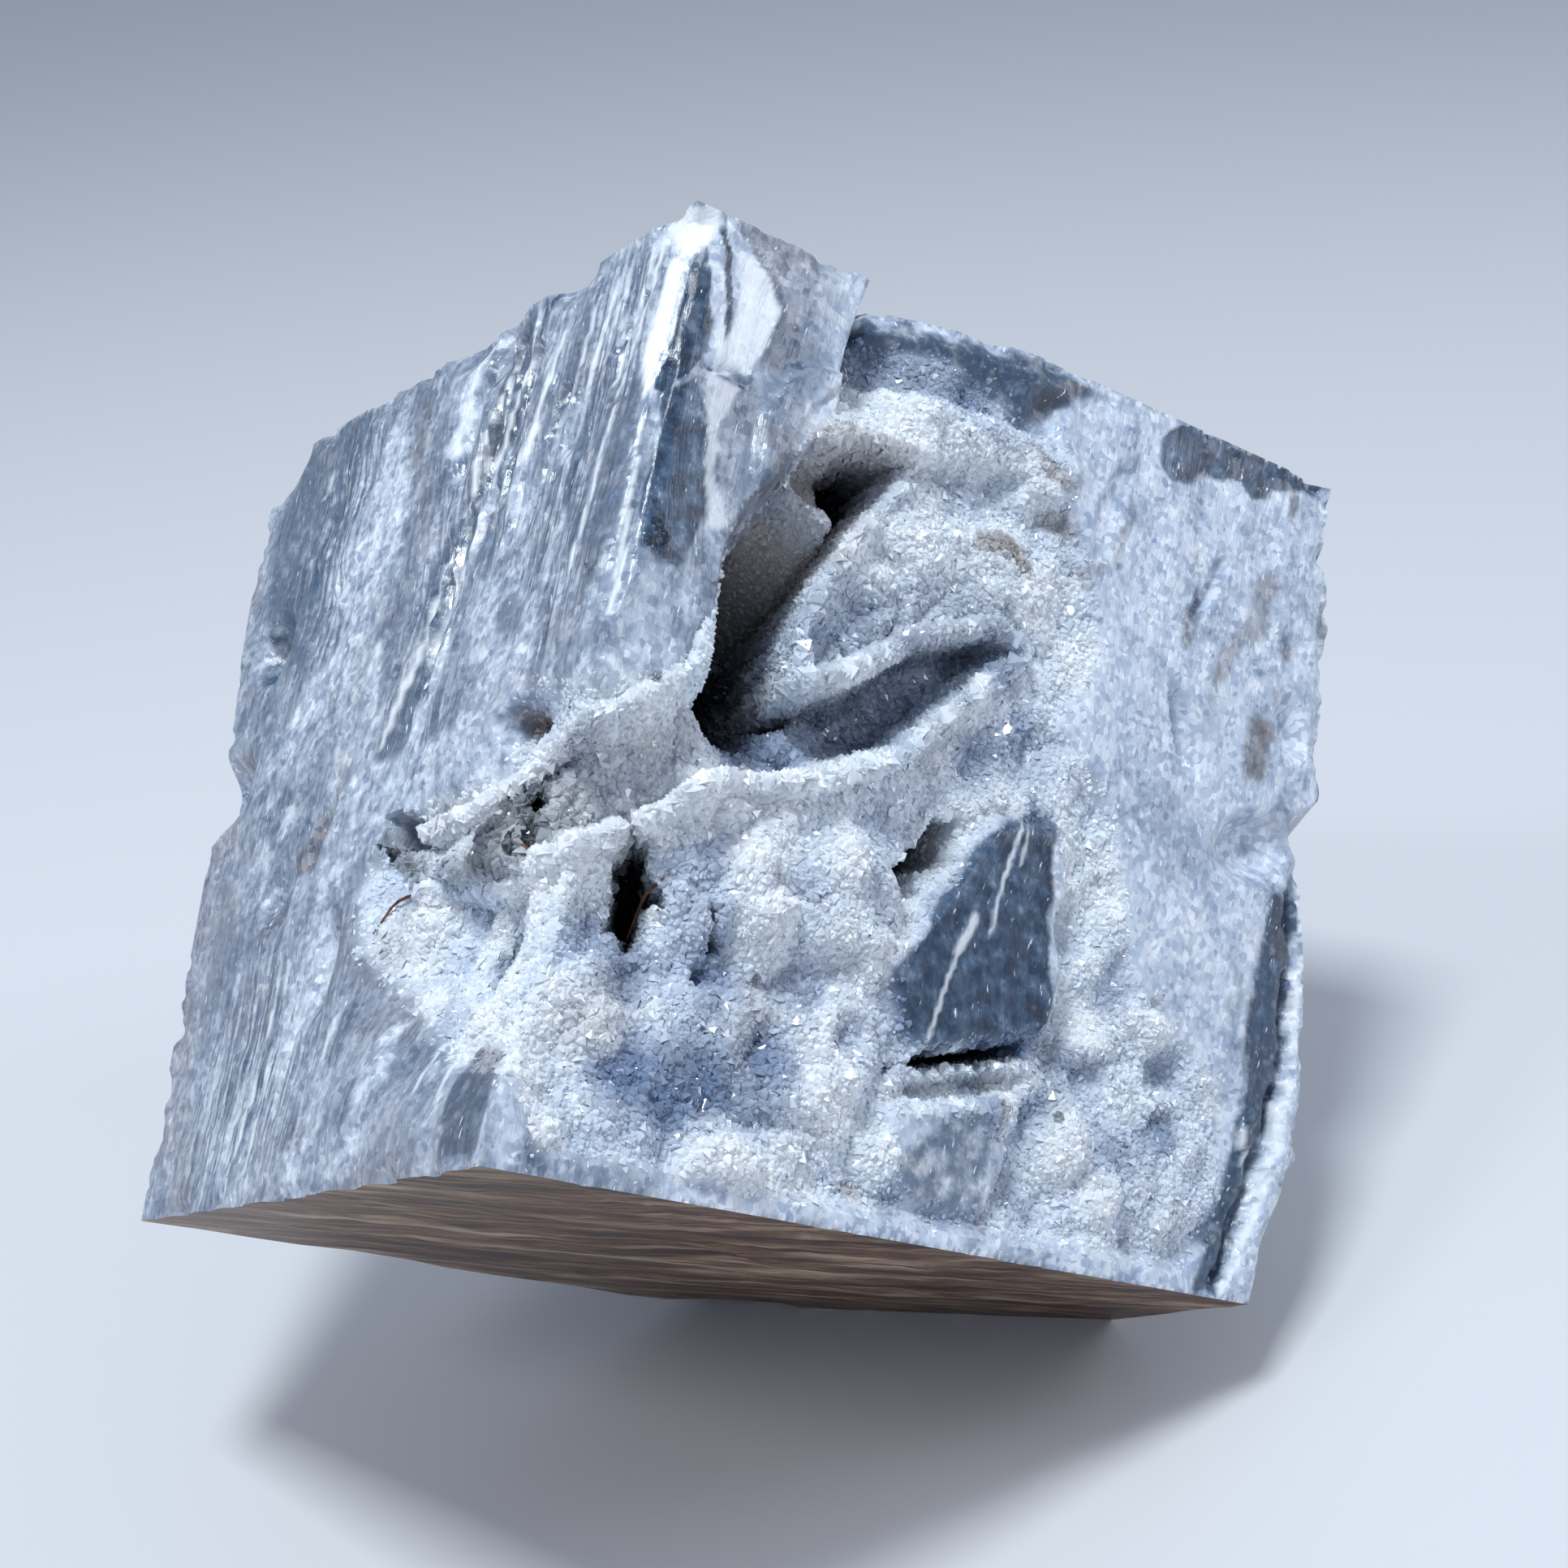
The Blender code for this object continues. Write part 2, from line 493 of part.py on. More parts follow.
def build_crust(sheet, out, cells, paint):
    """The crust as one closed skin: a crystal of four flat faces on each cell, an underside and a rim."""
    touching = corner_counts(cells)
    middles = (sheet[1:, 1:] + sheet[:-1, :-1] + sheet[1:, :-1] + sheet[:-1, 1:]) / 4.0
    crusted = middles * cells[..., None]
    total = sum(np.pad(crusted, ((i, 1 - i), (j, 1 - j), (0, 0))) for i in (0, 1) for j in (0, 1))
    inward = total / np.maximum(touching, 1)[..., None]
    at_rim = (touching > 0) & (touching < 4)
    skin = np.where(at_rim[..., None], sheet + (inward - sheet) * CRUST_INSET, sheet)
    draw = np.random.default_rng(CRYSTAL_SEED)
    height = draw.uniform(*CRYSTAL_HEIGHT, cells.shape)
    lean = draw.uniform(*CRYSTAL_LEAN, cells.shape + (2,))
    mesh = bmesh.new()
    used = [tuple(index) for index in np.argwhere(touching > 0)]
    top = {index: mesh.verts.new(tuple(skin[index] * MM)) for index in used}
    under = {index: mesh.verts.new(tuple((skin[index] - out[index] * CRUST) * MM)) for index in used}
    for i, j in np.argwhere(cells):
        ring = [(i, j), (i + 1, j), (i + 1, j + 1), (i, j + 1)]
        corners = np.array([skin[index] for index in ring])
        x, y = lean[i, j]
        low = corners[0] * (1.0 - x) + corners[1] * x
        place = low * (1.0 - y) + (corners[3] * (1.0 - x) + corners[2] * x) * y
        shortest = np.linalg.norm(np.roll(corners, -1, axis=0) - corners, axis=1).min()
        tip = mesh.verts.new(tuple((place + out[i, j] * min(height[i, j], CRYSTAL_SHARE * shortest)) * MM))
        for k, neighbour in enumerate(((i, j - 1), (i + 1, j), (i, j + 1), (i - 1, j))):
            a, b = ring[k], ring[(k + 1) % 4]
            mesh.faces.new((top[a], top[b], tip))
            if not cells[neighbour]:
                mesh.faces.new((top[a], under[a], under[b]))
                mesh.faces.new((top[a], under[b], top[b]))
        mesh.faces.new((under[ring[0]], under[ring[2]], under[ring[1]]))
        mesh.faces.new((under[ring[0]], under[ring[3]], under[ring[2]]))
    return finish_object(mesh, "druse_crust", paint)


def build_stone(base, sheet, steps, paint):
    """The block: the front sheet, the sawn sides that meet it, and the flat spot that it stands on."""
    roof, front, left, right = sides(base, sheet, steps)
    mesh = bmesh.new()
    for grid in (sheet, roof, front, left, right):
        add_grid(mesh, grid)
    add_resting_face(mesh, *resting_rings(front, left, right))
    return finish_object(mesh, "stone", paint)


def main():
    for thing in list(bpy.data.objects):
        bpy.data.objects.remove(thing)
    base, across, up, out, steps = front_sheet()
    sheet = shaped_front(base, across, up, out)
    normals = sheet_normals(sheet)
    cells = crust_cells(across, up)
    under_crust = (corner_counts(cells) > 0)[..., None]
    bed = sheet - normals * (CRUST + GAP) * under_crust
    build_stone(base, bed, steps, material("banded chalcedony", STONE_GREY, STONE_ROUGHNESS))
    build_crust(sheet, normals, cells, material("quartz druse", DRUSE_WHITE, DRUSE_ROUGHNESS))


main()
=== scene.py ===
# %% [markdown]
# # A geode block with an open druse
#
# The object is a block of banded chalcedony, sawn from a geode and stood on a cut-off corner. Its left face is
# polished. Its right face was never ground flat: it keeps the geode's own hollow, which is grown over with
# thousands of small quartz points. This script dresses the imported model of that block. It rebuilds the surface
# finely from the same measures, grows the points on it, and gives each kind of stone a material of its own.

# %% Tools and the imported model
import math

import bmesh
import bpy
import numpy as np
from mathutils import Matrix, Vector


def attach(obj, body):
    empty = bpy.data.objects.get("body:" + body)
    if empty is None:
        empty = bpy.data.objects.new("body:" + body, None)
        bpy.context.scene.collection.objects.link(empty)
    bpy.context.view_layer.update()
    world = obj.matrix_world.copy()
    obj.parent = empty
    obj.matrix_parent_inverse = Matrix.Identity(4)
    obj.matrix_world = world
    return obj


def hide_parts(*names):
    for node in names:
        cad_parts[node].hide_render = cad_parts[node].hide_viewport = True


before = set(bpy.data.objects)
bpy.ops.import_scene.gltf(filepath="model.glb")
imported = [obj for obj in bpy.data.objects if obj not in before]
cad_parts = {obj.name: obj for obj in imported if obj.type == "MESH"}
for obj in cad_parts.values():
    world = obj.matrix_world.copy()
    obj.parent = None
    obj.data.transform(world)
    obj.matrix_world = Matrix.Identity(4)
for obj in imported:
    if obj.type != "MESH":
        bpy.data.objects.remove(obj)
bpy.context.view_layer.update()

MM = 0.001

# %% [markdown]
# ## Noise and outlines
#
# Stone is never regular, so every surface below is disturbed by noise. Blender has noise of its own in
# mathutils, but that is called once a point. Here the noise is a lattice of random numbers that numpy blends for
# all points at once, which is quicker and gives the same stone on each run. Marks in the stone are drawn with
# three tools: the distance to an outline, the distance to a line, and a round bump.


# %% Helpers for noise and marks
LATTICE = 17
BUMP_END = 1.25


def smooth(value, low, high):
    """0 below low, 1 above high, and the S-curve 3x^2 - 2x^3 between them."""
    x = np.clip((value - low) / (high - low), 0.0, 1.0)
    return x * x * (3.0 - 2.0 * x)


def soft_noise(points, size, seed):
    """Noise from -1 to 1: random numbers on a lattice of this size, blended smoothly between its corners."""
    lattice = np.random.default_rng(seed).uniform(-1.0, 1.0, (LATTICE, LATTICE, LATTICE))
    place = points / size
    cell = np.floor(place).astype(int)
    part = place - cell
    part = part * part * (3.0 - 2.0 * part)
    total = 0.0
    for corner in np.ndindex(2, 2, 2):
        weight = np.prod(np.where(corner, part, 1.0 - part), axis=-1)
        index = (cell + corner) % LATTICE
        total = total + weight * lattice[index[..., 0], index[..., 1], index[..., 2]]
    return total


def rough_noise(points, size, seed, octaves=3):
    """Sum of soft noises, each half as large and half as strong as the one before."""
    return sum(soft_noise(points, size / 2**k, seed + k) / 2**k for k in range(octaves))


def knobs(points, size, seed):
    """Rounded knobs with creases between them: 1 - d^2, with d the distance to the nearest of many random
    places, one in each cell of a lattice, in units of that lattice."""
    spots = np.random.default_rng(seed).uniform(0.0, 1.0, (LATTICE, LATTICE, LATTICE, 3))
    place = points / size
    cell = np.floor(place).astype(int)
    nearest = np.full(points.shape[:-1], 9.0)
    for step in np.ndindex(3, 3, 3):
        other = cell + step - 1
        index = other % LATTICE
        spot = other + spots[index[..., 0], index[..., 1], index[..., 2]]
        nearest = np.minimum(nearest, np.sum((place - spot) ** 2, axis=-1))
    return 1.0 - np.minimum(nearest, 1.0)


def line_distance(across, up, line):
    """Distance to a line of straight stretches, and how far along the line the nearest place is, 0 to 1."""
    nearest = np.full(np.shape(across), np.inf)
    share = np.zeros(np.shape(across))
    for k, ((x0, y0), (x1, y1)) in enumerate(zip(line, line[1:])):
        dx, dy = x1 - x0, y1 - y0
        along = np.clip(((across - x0) * dx + (up - y0) * dy) / (dx * dx + dy * dy), 0.0, 1.0)
        distance = np.hypot(across - x0 - along * dx, up - y0 - along * dy)
        share = np.where(distance < nearest, (k + along) / (len(line) - 1), share)
        nearest = np.minimum(nearest, distance)
    return nearest, share


def outline_distance(across, up, outline):
    """Distance to a closed outline, negative inside it. A point is inside if a level line from it crosses the
    outline an odd number of times."""
    nearest = line_distance(across, up, outline + outline[:1])[0]
    inside = np.zeros(np.shape(across), bool)
    for (x0, y0), (x1, y1) in zip(outline, outline[1:] + outline[:1]):
        if y0 != y1:
            crosses = ((y0 > up) != (y1 > up)) & (across < x0 + (up - y0) * (x1 - x0) / (y1 - y0))
            inside ^= crosses
    return np.where(inside, -nearest, nearest)


def mark_share(across, up, kind, places, width):
    """How far a place lies in a mark. An area fades over its edge width to both sides, and a line from half its
    half width to one and a half times that."""
    if kind == "area":
        return smooth(-outline_distance(across, up, places), -width, width)
    return 1.0 - smooth(line_distance(across, up, places)[0], 0.5 * width, 1.5 * width)


def bump(across, up, x, y, half_width, half_height, turn=0.0):
    """1 at a place and falling smoothly to nothing at an ellipse around it, turned by `turn` degrees."""
    c, s = np.cos(np.radians(turn)), np.sin(np.radians(turn))
    a = ((across - x) * c + (up - y) * s) / half_width
    b = ((up - y) * c - (across - x) * s) / half_height
    return smooth(BUMP_END - np.hypot(a, b), 0.0, 1.0)


print("noise at two places:", soft_noise(np.array([[1.0, 2.0, 3.0], [4.0, 5.0, 6.0]]), 7.5, 4).round(3))

# %% [markdown]
# ## The block and the chart of its front
#
# The block is a slanting cube that stands on one corner. Its eight corners are the driving measures, the same as
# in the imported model. The two upper faces at the front are one sheet, folded along the ridge. A place on that
# sheet is given as on a map: `across`, in mm from the ridge and positive to the right, and `up`, in mm along the
# ridge from its foot. A grid in those two directions could be even, but the ridge and the pocket need more
# points than the plain left face, so the rows and columns crowd there.

# %% Corners and chart
APEX = np.array([-1.3, -5.8, 99.7])
RIDGE_FOOT = np.array([-19.6, -57.0, 52.8])
LEFT_TOP = np.array([-42.3, 29.7, 71.7])
RIGHT_TOP = np.array([53.2, 22.3, 62.9])
LEFT_LOW = np.array([-53.2, -23.4, 26.7])
RIGHT_LOW = np.array([35.8, -24.6, 9.3])
BACK = np.array([15.4, 57.0, 32.5])
FOOT = np.array([9.4, 4.0, -15.8])
MIDDLE = (APEX + FOOT) / 2.0
RIDGE_LENGTH = 71.5
# Depth near the ridge runs towards a line inside the block, this far in, so that the sheet doesn't fold over
AIM_DEPTH = 30.0

# Steps of the grid, and the shares of each length over which they crowd
LEFT_STEPS = 118
RIGHT_STEPS = 214
RIDGE_STEPS = 176
SKIRT_STEPS = 11
LEFT_CROWDED = (0.0, 0.35)
RIGHT_CROWDED = (0.0, 0.6)
RIDGE_CROWDED = (0.2, 0.95)
CROWDING = 0.5
CROWDING_BLEND = 0.1


def crowded(steps, start, end):
    """Parameters from 0 to 1 that lie closer together between start and end: equal steps of the sum of a
    density that rises there."""
    x = np.linspace(0.0, 1.0, 400)
    inside = smooth(x, start - CROWDING_BLEND, start) * (1.0 - smooth(x, end, end + CROWDING_BLEND))
    density = 1.0 + CROWDING * inside
    total = np.concatenate([[0.0], np.cumsum((density[1:] + density[:-1]) / 2.0)])
    return np.interp(np.linspace(0.0, total[-1], steps + 1), total, x)


def unit(vector):
    """The direction of each vector."""
    return vector / np.linalg.norm(vector, axis=-1, keepdims=True)


def patch(low_left, low_right, top_left, top_right, x, y):
    """A four-cornered face as a grid: straight lines in x between straight edges in y."""
    x, y = x[:, None, None], y[None, :, None]
    low = low_left * (1.0 - x) + low_right * x
    return low * (1.0 - y) + (top_left * (1.0 - x) + top_right * x) * y


def face_axes(corner, beside, above, opposite):
    """Directions along a face, up it and out of it."""
    out = unit(np.cross(opposite - corner, above - beside))
    along = beside - corner
    along = unit(along - out * (along @ out))
    return along, np.cross(out, along), out


def chart(points, beside, opposite):
    """Distance from the ridge and height up the ridge of points on one of the two front faces."""
    along, up, _ = face_axes(RIDGE_FOOT, beside, APEX, opposite)
    ridge = APEX - RIDGE_FOOT
    up = up * np.sign(up @ ridge)
    height = (points - RIDGE_FOOT) @ up
    aside = (points - RIDGE_FOOT) @ along - height * (ridge @ along) / (ridge @ up)
    return aside, height * RIDGE_LENGTH / (ridge @ up)


LEFT_OUT = -face_axes(RIDGE_FOOT, LEFT_LOW, APEX, LEFT_TOP)[2]
RIGHT_ALONG, _, RIGHT_OUT = face_axes(RIDGE_FOOT, RIGHT_LOW, APEX, RIGHT_TOP)
RIDGE_WAY = unit(APEX - RIDGE_FOOT)


def front_sheet():
    """The two front faces as one grid of points, its chart, and the way out of the block at each point."""
    to_ridge = 1.0 - crowded(LEFT_STEPS, *LEFT_CROWDED)[::-1]
    from_ridge = crowded(RIGHT_STEPS, *RIGHT_CROWDED)
    height = crowded(RIDGE_STEPS, *RIDGE_CROWDED)
    left = patch(LEFT_LOW, RIDGE_FOOT, LEFT_TOP, APEX, to_ridge, height)
    right = patch(RIDGE_FOOT, RIGHT_LOW, APEX, RIGHT_TOP, from_ridge, height)
    left_aside, left_up = chart(left, LEFT_LOW, LEFT_TOP)
    right_aside, right_up = chart(right, RIGHT_LOW, RIGHT_TOP)
    points = np.concatenate([left, right[1:]])
    across = np.concatenate([-left_aside, right_aside[1:]])
    up = np.concatenate([left_up, right_up[1:]])
    on_ridge = RIDGE_FOOT + (APEX - RIDGE_FOOT) * (up / RIDGE_LENGTH)[..., None]
    from_inside = unit(points - on_ridge + unit(LEFT_OUT + RIGHT_OUT) * AIM_DEPTH)
    face_out = np.where((across < 0.0)[..., None], LEFT_OUT, RIGHT_OUT)
    near_ridge = (np.abs(across) < AIM_DEPTH / np.sqrt(2.0))[..., None]
    return points, across, up, np.where(near_ridge, from_inside, face_out), (to_ridge, from_ridge, height)


base, across, up, out, steps = front_sheet()
print("front grid:", base.shape[:2], "across", across.min().round(1), "to", across.max().round(1), "mm")

# %% [markdown]
# ## The broken front: pocket, flap and lumps
#
# On the real block a deep pocket opens beside the ridge, a white flap of crust hangs over its right side, and
# the druse around it lies a few millimetres below the saw cut. A sculpted mesh could give this, but a depth map
# over the chart is easier to steer: each feature is an outline or a bump with a depth in mm, and the depths add.
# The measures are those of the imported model, so that the fine surface lies on its solids. Only the pocket's
# walls are steeper, because the fine grid can show them.

# %% Measures of the broken front
POCKET = [
    (13.7, 56.8), (18.5, 58.2), (24.4, 59.2), (23.4, 55.0), (21.2, 52.2), (18.8, 46.8), (18.0, 42.5),
    (18.6, 39.2), (22.6, 40.6), (29.2, 46.0), (35.6, 48.6), (38.6, 47.0), (33.8, 42.0), (28.9, 36.0),
    (21.3, 31.5), (12.7, 29.5), (7.2, 26.0), (0.4, 23.0), (-8.0, 21.6), (-20.0, 22.2), (-24.0, 25.5),
    (-10.6, 27.5), (-2.0, 29.5), (4.5, 33.0), (8.4, 37.0), (8.7, 41.7), (8.4, 47.4), (11.0, 52.0),
]
POCKET_LEVEL = 4.5
WALL_WIDTH = 0.9
# Deeper places of the pocket: across, up, half width, half height, depth
POCKET_WELLS = [(13.5, 43.0, 6.5, 9.5, 13.5), (18.0, 55.5, 6.5, 3.4, 6.0), (25.0, 38.5, 8.0, 4.5, 3.5)]
POCKET_SPREAD = 0.4
POCKET_MIDDLE = 13.5
POCKET_DEEP = (3.0, 12.0)
# The broken ridge below the prow, and the flap: across, up, half width, half height, and the ridge's depth
BROKEN_RIDGE = (-3.0, 18.5, 21.0, 13.0, 5.0)
FLAP = (24.0, 48.0, 14.0, 13.0)
FLAP_REACH = 2.4
FLAP_WAY = (-0.85, -0.5)
FLAP_RIM = (-4.5, -0.5)
PROW_EDGE = [(8.6, 41.0), (8.4, 47.4), (11.0, 51.6), (13.7, 56.6), (15.2, 62.6), (16.4, 72.0)]
PROW_DROP = 4.2
PROW_DROP_WIDTH = 1.2
PROW_DROP_REACH = 11.0
PROW_DROP_START = (50.0, 54.0)
# Across, up, half width, half height, turn, depth
LUMPS = [
    (22.5, 49.5, 8.0, 5.0, 30.0, -2.6), (33.0, 52.0, 9.0, 4.5, 20.0, -1.2), (20.0, 1.5, 5.0, 3.5, 0.0, -1.6),
    (40.0, 8.5, 7.0, 5.0, 10.0, -1.4), (56.0, 14.0, 6.0, 7.0, 0.0, -1.2), (66.0, 8.0, 6.0, 5.0, 0.0, -1.3),
    (3.0, 14.0, 5.0, 4.0, 0.0, -1.2), (15.0, 22.0, 6.0, 4.0, 0.0, -1.5), (26.0, 24.0, 5.0, 5.0, 0.0, -1.4),
    (12.0, 7.0, 6.0, 4.0, 20.0, -1.2), (30.0, 14.0, 4.0, 5.0, 0.0, -1.0), (6.0, 32.0, 4.0, 2.6, 20.0, -1.4),
]
PITS = [
    (7.0, 19.6, 1.9, 2.8, 10.0, 5.5), (-1.5, 24.0, 2.0, 1.3, 20.0, 3.0), (-20.0, 24.0, 2.2, 1.5, 0.0, 2.6),
    (32.8, 26.2, 2.2, 1.2, 50.0, 3.2), (15.5, 16.3, 1.2, 1.2, 0.0, 2.0), (41.0, 12.2, 7.5, 1.5, 15.0, 4.2),
    (17.4, 69.0, 1.3, 6.5, -10.0, 4.0), (58.0, 46.0, 1.3, 4.2, 30.0, 2.4), (69.5, 50.0, 1.6, 3.0, 20.0, 1.4),
    (68.0, 38.0, 4.5, 3.0, 20.0, 2.4), (49.0, 27.0, 2.0, 3.0, 0.0, 1.6), (53.0, 20.0, 3.0, 2.4, 0.0, 1.8),
    (-8.7, 32.8, 3.0, 1.6, 15.0, 3.0), (-24.5, 68.5, 1.6, 3.5, 0.0, 1.2), (-10.5, 57.0, 1.0, 3.2, 0.0, 1.0),
    (-53.0, 49.6, 2.4, 3.4, 0.0, 2.6), (-30.0, 18.0, 1.3, 5.0, 0.0, 1.0), (-41.0, 25.0, 2.0, 3.4, 0.0, 1.0),
]
# Bites out of the front's outline: across, up, half width, half height, depth
BITES = [
    (77.0, 41.0, 4.0, 3.2, 2.4), (78.0, 66.0, 3.0, 3.0, 2.6), (-56.0, 37.0, 3.6, 3.6, 2.4),
    (-15.5, 72.0, 3.0, 3.0, 1.4), (-29.0, 71.0, 4.5, 3.0, 1.0), (-60.0, 70.0, 4.0, 4.0, 2.4),
    (25.0, 73.0, 8.0, 4.0, 1.6),
]
DRUSE = [
    (9.2, 41.0), (9.4, 47.6), (12.0, 51.6), (14.6, 56.6), (16.2, 62.6), (17.5, 69.0), (30.0, 69.0),
    (38.0, 66.5), (42.0, 60.0), (47.0, 50.0), (44.0, 42.0), (52.0, 36.0), (57.0, 24.0), (63.0, 20.0),
    (70.0, 17.0), (72.0, 6.0), (68.0, 2.2), (40.0, 1.8), (4.0, 1.8), (1.0, 6.0), (-8.0, 8.0),
    (-17.0, 13.0), (-26.0, 18.5), (-27.0, 24.0), (-23.0, 27.5), (-10.0, 29.0), (-9.0, 35.5), (-1.0, 33.0),
    (6.0, 34.8),
]
WINDOWS = [
    [(39.0, 33.0), (45.5, 34.0), (49.0, 27.0), (48.5, 18.0), (35.5, 14.0), (31.0, 19.0), (35.0, 26.0)],
    [(33.5, 9.0), (42.0, 10.0), (46.0, 8.5), (45.0, 3.2), (36.5, 2.6)],
]
DRUSE_BORDER = (-0.8, 1.2)
DRUSE_LEVEL = 1.5
DRUSE_ROLL = 1.5
DRUSE_ROLL_SIZE = 7.5
DRUSE_ROLL_SEED = 4

# %% Depth of the broken front


def druse_share(across, up):
    """1 where druse grows, 0 where the stone is bare and polished."""
    grown = smooth(-outline_distance(across, up, DRUSE), *DRUSE_BORDER)
    for window in WINDOWS:
        grown = grown * smooth(outline_distance(across, up, window), *DRUSE_BORDER)
    return grown


def relief(points, across, up):
    """Depth of the front below its two planes, in mm: the sum of what each feature takes away."""
    inside = -outline_distance(across, up, POCKET)
    hollow = np.full_like(across, POCKET_LEVEL)
    for x, y, half_width, half_height, depth in POCKET_WELLS:
        hollow = hollow + depth * bump(across, up, x, y, half_width, half_height)
    depth = hollow * smooth(inside, 0.0, WALL_WIDTH)
    x, y, half_width, half_height, broken = BROKEN_RIDGE
    depth = depth + broken * bump(across, up, x, y, half_width, half_height)
    edge_across = np.interp(up, [p[1] for p in PROW_EDGE], [p[0] for p in PROW_EDGE])
    beyond = across - edge_across
    drop = smooth(beyond, 0.0, PROW_DROP_WIDTH) * smooth(PROW_DROP_REACH - beyond, 0.0, PROW_DROP_REACH)
    outside_pocket = 1.0 - smooth(inside, -WALL_WIDTH, 0.0)
    depth = depth + PROW_DROP * drop * smooth(up, *PROW_DROP_START) * outside_pocket
    rolling = DRUSE_LEVEL + DRUSE_ROLL * soft_noise(points, DRUSE_ROLL_SIZE, DRUSE_ROLL_SEED)
    depth = depth + druse_share(across, up) * outside_pocket * np.maximum(rolling, 0.0)
    for x, y, half_width, half_height, turn, pit in PITS:
        depth = depth + pit * bump(across, up, x, y, half_width, half_height, turn)
    for x, y, half_width, half_height, turn, lump in LUMPS:
        depth = depth + lump * bump(across, up, x, y, half_width, half_height, turn) * outside_pocket
    for x, y, half_width, half_height, bite in BITES:
        depth = depth + bite * bump(across, up, x, y, half_width, half_height)
    return np.maximum(depth, 0.0)


def shaped_front(points, across, up, out, depth):
    """The front as it is broken: sunk by its depth, wider behind the pocket's rim, narrower at the flap."""
    inside = -outline_distance(across, up, POCKET)
    outside = 1.0 - smooth(inside, 0.0, WALL_WIDTH / 2.0)
    at_rim = FLAP_REACH * smooth(inside, *FLAP_RIM) * outside * bump(across, up, *FLAP)
    reach = RIGHT_ALONG * FLAP_WAY[0] + RIDGE_WAY * FLAP_WAY[1]
    behind_rim = smooth(inside, 0.0, WALL_WIDTH) * smooth(depth, *POCKET_DEEP)
    aside = POCKET_SPREAD * (across - POCKET_MIDDLE) * behind_rim
    return points - out * depth[..., None] + reach * at_rim[..., None] + RIGHT_ALONG * aside[..., None]


depth = relief(base, across, up)
print("deepest place of the pocket:", depth.max().round(1), "mm below the saw cut")

# %% [markdown]
# ## Fine relief
#
# Druse grows as rounded knobs a few millimetres wide, each a cluster of points, with creases between them. The
# polished stone has shallow grooves along its bands, because the saw and the polish took the softer ones first.
# A displacement modifier could raise these, but on a folded sheet it would need painted masks. Here they are
# more depths on the same chart. All of them fade to nothing before the block's edges, so its sides still meet it.

# %% Fine relief of the druse, the polish and the ridge
# Knobs: spacing in mm, height in mm and seed
KNOBS = [(5.0, 1.7, 31), (2.3, 0.8, 32)]
KNOB_MEAN = 0.62
GROOVE_DEPTH = 0.12
EDGE_FADE = 1.2
# Swells and dips of the druse: area or line, its points, its width and its height in mm
SWELLS = [
    ("line", [(14.5, 59.5), (18.0, 60.6), (24.0, 61.3), (31.0, 62.2), (38.0, 62.8)], 2.6, 1.5),
    ("line", [(24.6, 58.4), (30.1, 59.9), (35.3, 61.0)], 0.8, -1.4),
    ("area", [(17.5, 65.5), (22.0, 64.5), (30.0, 65.5), (38.0, 66.5), (38.0, 69.5), (28.0, 70.0), (18.5, 69.0)],
     0.9, -1.3),
    ("line", [(45.0, 58.0), (44.5, 61.5), (46.0, 66.0)], 0.8, -0.5), ("line", [(50.0, 25.0), (52.0, 30.0)], 1.6, -0.8),
]
# White lumps and blue-grey dips of the druse: across, up and radius, then their heights in mm
LUMPS_OF_DRUSE = [
    (-4.0, 24.0, 3.2), (1.0, 26.0, 2.6), (11.0, 29.0, 3.0), (14.5, 28.5, 2.2), (-5.0, 20.5, 2.6), (1.5, 22.0, 2.4),
    (-4.5, 13.5, 2.8), (-7.5, 11.0, 2.4), (7.0, 11.0, 2.4), (18.5, 3.0, 3.6), (20.0, 20.5, 2.6), (17.0, 25.0, 2.8),
    (28.0, 9.0, 3.2), (53.5, 19.0, 2.6), (61.0, 20.5, 2.4), (52.5, 9.0, 3.4), (57.0, 6.0, 2.6), (-12.0, 18.5, 2.8),
    (-19.0, 20.5, 2.4), (3.5, 3.0, 2.2), (30.0, 20.0, 2.4), (24.5, 26.0, 2.4), (-14.0, 32.0, 2.6),
]
DIPS_OF_DRUSE = [
    (9.5, 8.5, 4.0), (13.5, 6.5, 3.0), (23.0, 11.5, 3.5), (16.5, 8.0, 3.0), (24.5, 16.5, 3.0), (16.5, 18.0, 3.0),
    (8.0, 14.5, 2.8), (56.0, 23.5, 2.6), (54.5, 15.0, 2.2), (62.5, 17.0, 2.6), (49.5, 12.0, 2.2), (64.0, 12.5, 2.6),
    (-9.0, 15.5, 2.4), (2.5, 17.5, 2.4), (28.5, 13.5, 2.2), (36.5, 37.0, 3.0),
]
LUMP_HEIGHT = 1.2
DIP_DEPTH = 1.0
# Gaps under the flap's rim: the rim's line and the gap's extra depth, and how far in they reach
GAPS = [
    ([(25.0, 59.5), (23.4, 55.0), (21.2, 52.2), (18.8, 46.8), (18.0, 42.5), (18.6, 39.2)], 4.5),
    ([(18.6, 39.2), (22.6, 40.6), (29.2, 46.0), (35.6, 48.6)], 1.4),
]
GAP_REACH = (0.8, 3.2)
# Ribs of the left face, where softer bands were worn out: across, up, half width, half height, turn, depth
RIBBED = [
    (-20.0, 58.0, 9.0, 15.0, -4.0, 0.75), (-25.0, 42.0, 5.0, 16.0, 2.0, 0.55), (-7.0, 62.0, 5.0, 10.0, 0.0, 0.35),
    (-45.0, 58.0, 8.0, 16.0, 0.0, 0.35), (-9.0, 47.0, 6.0, 12.0, 0.0, 0.3), (-38.0, 10.0, 12.0, 12.0, 0.0, 0.2),
]
RIB_SIZE = (0.95, 13.0)
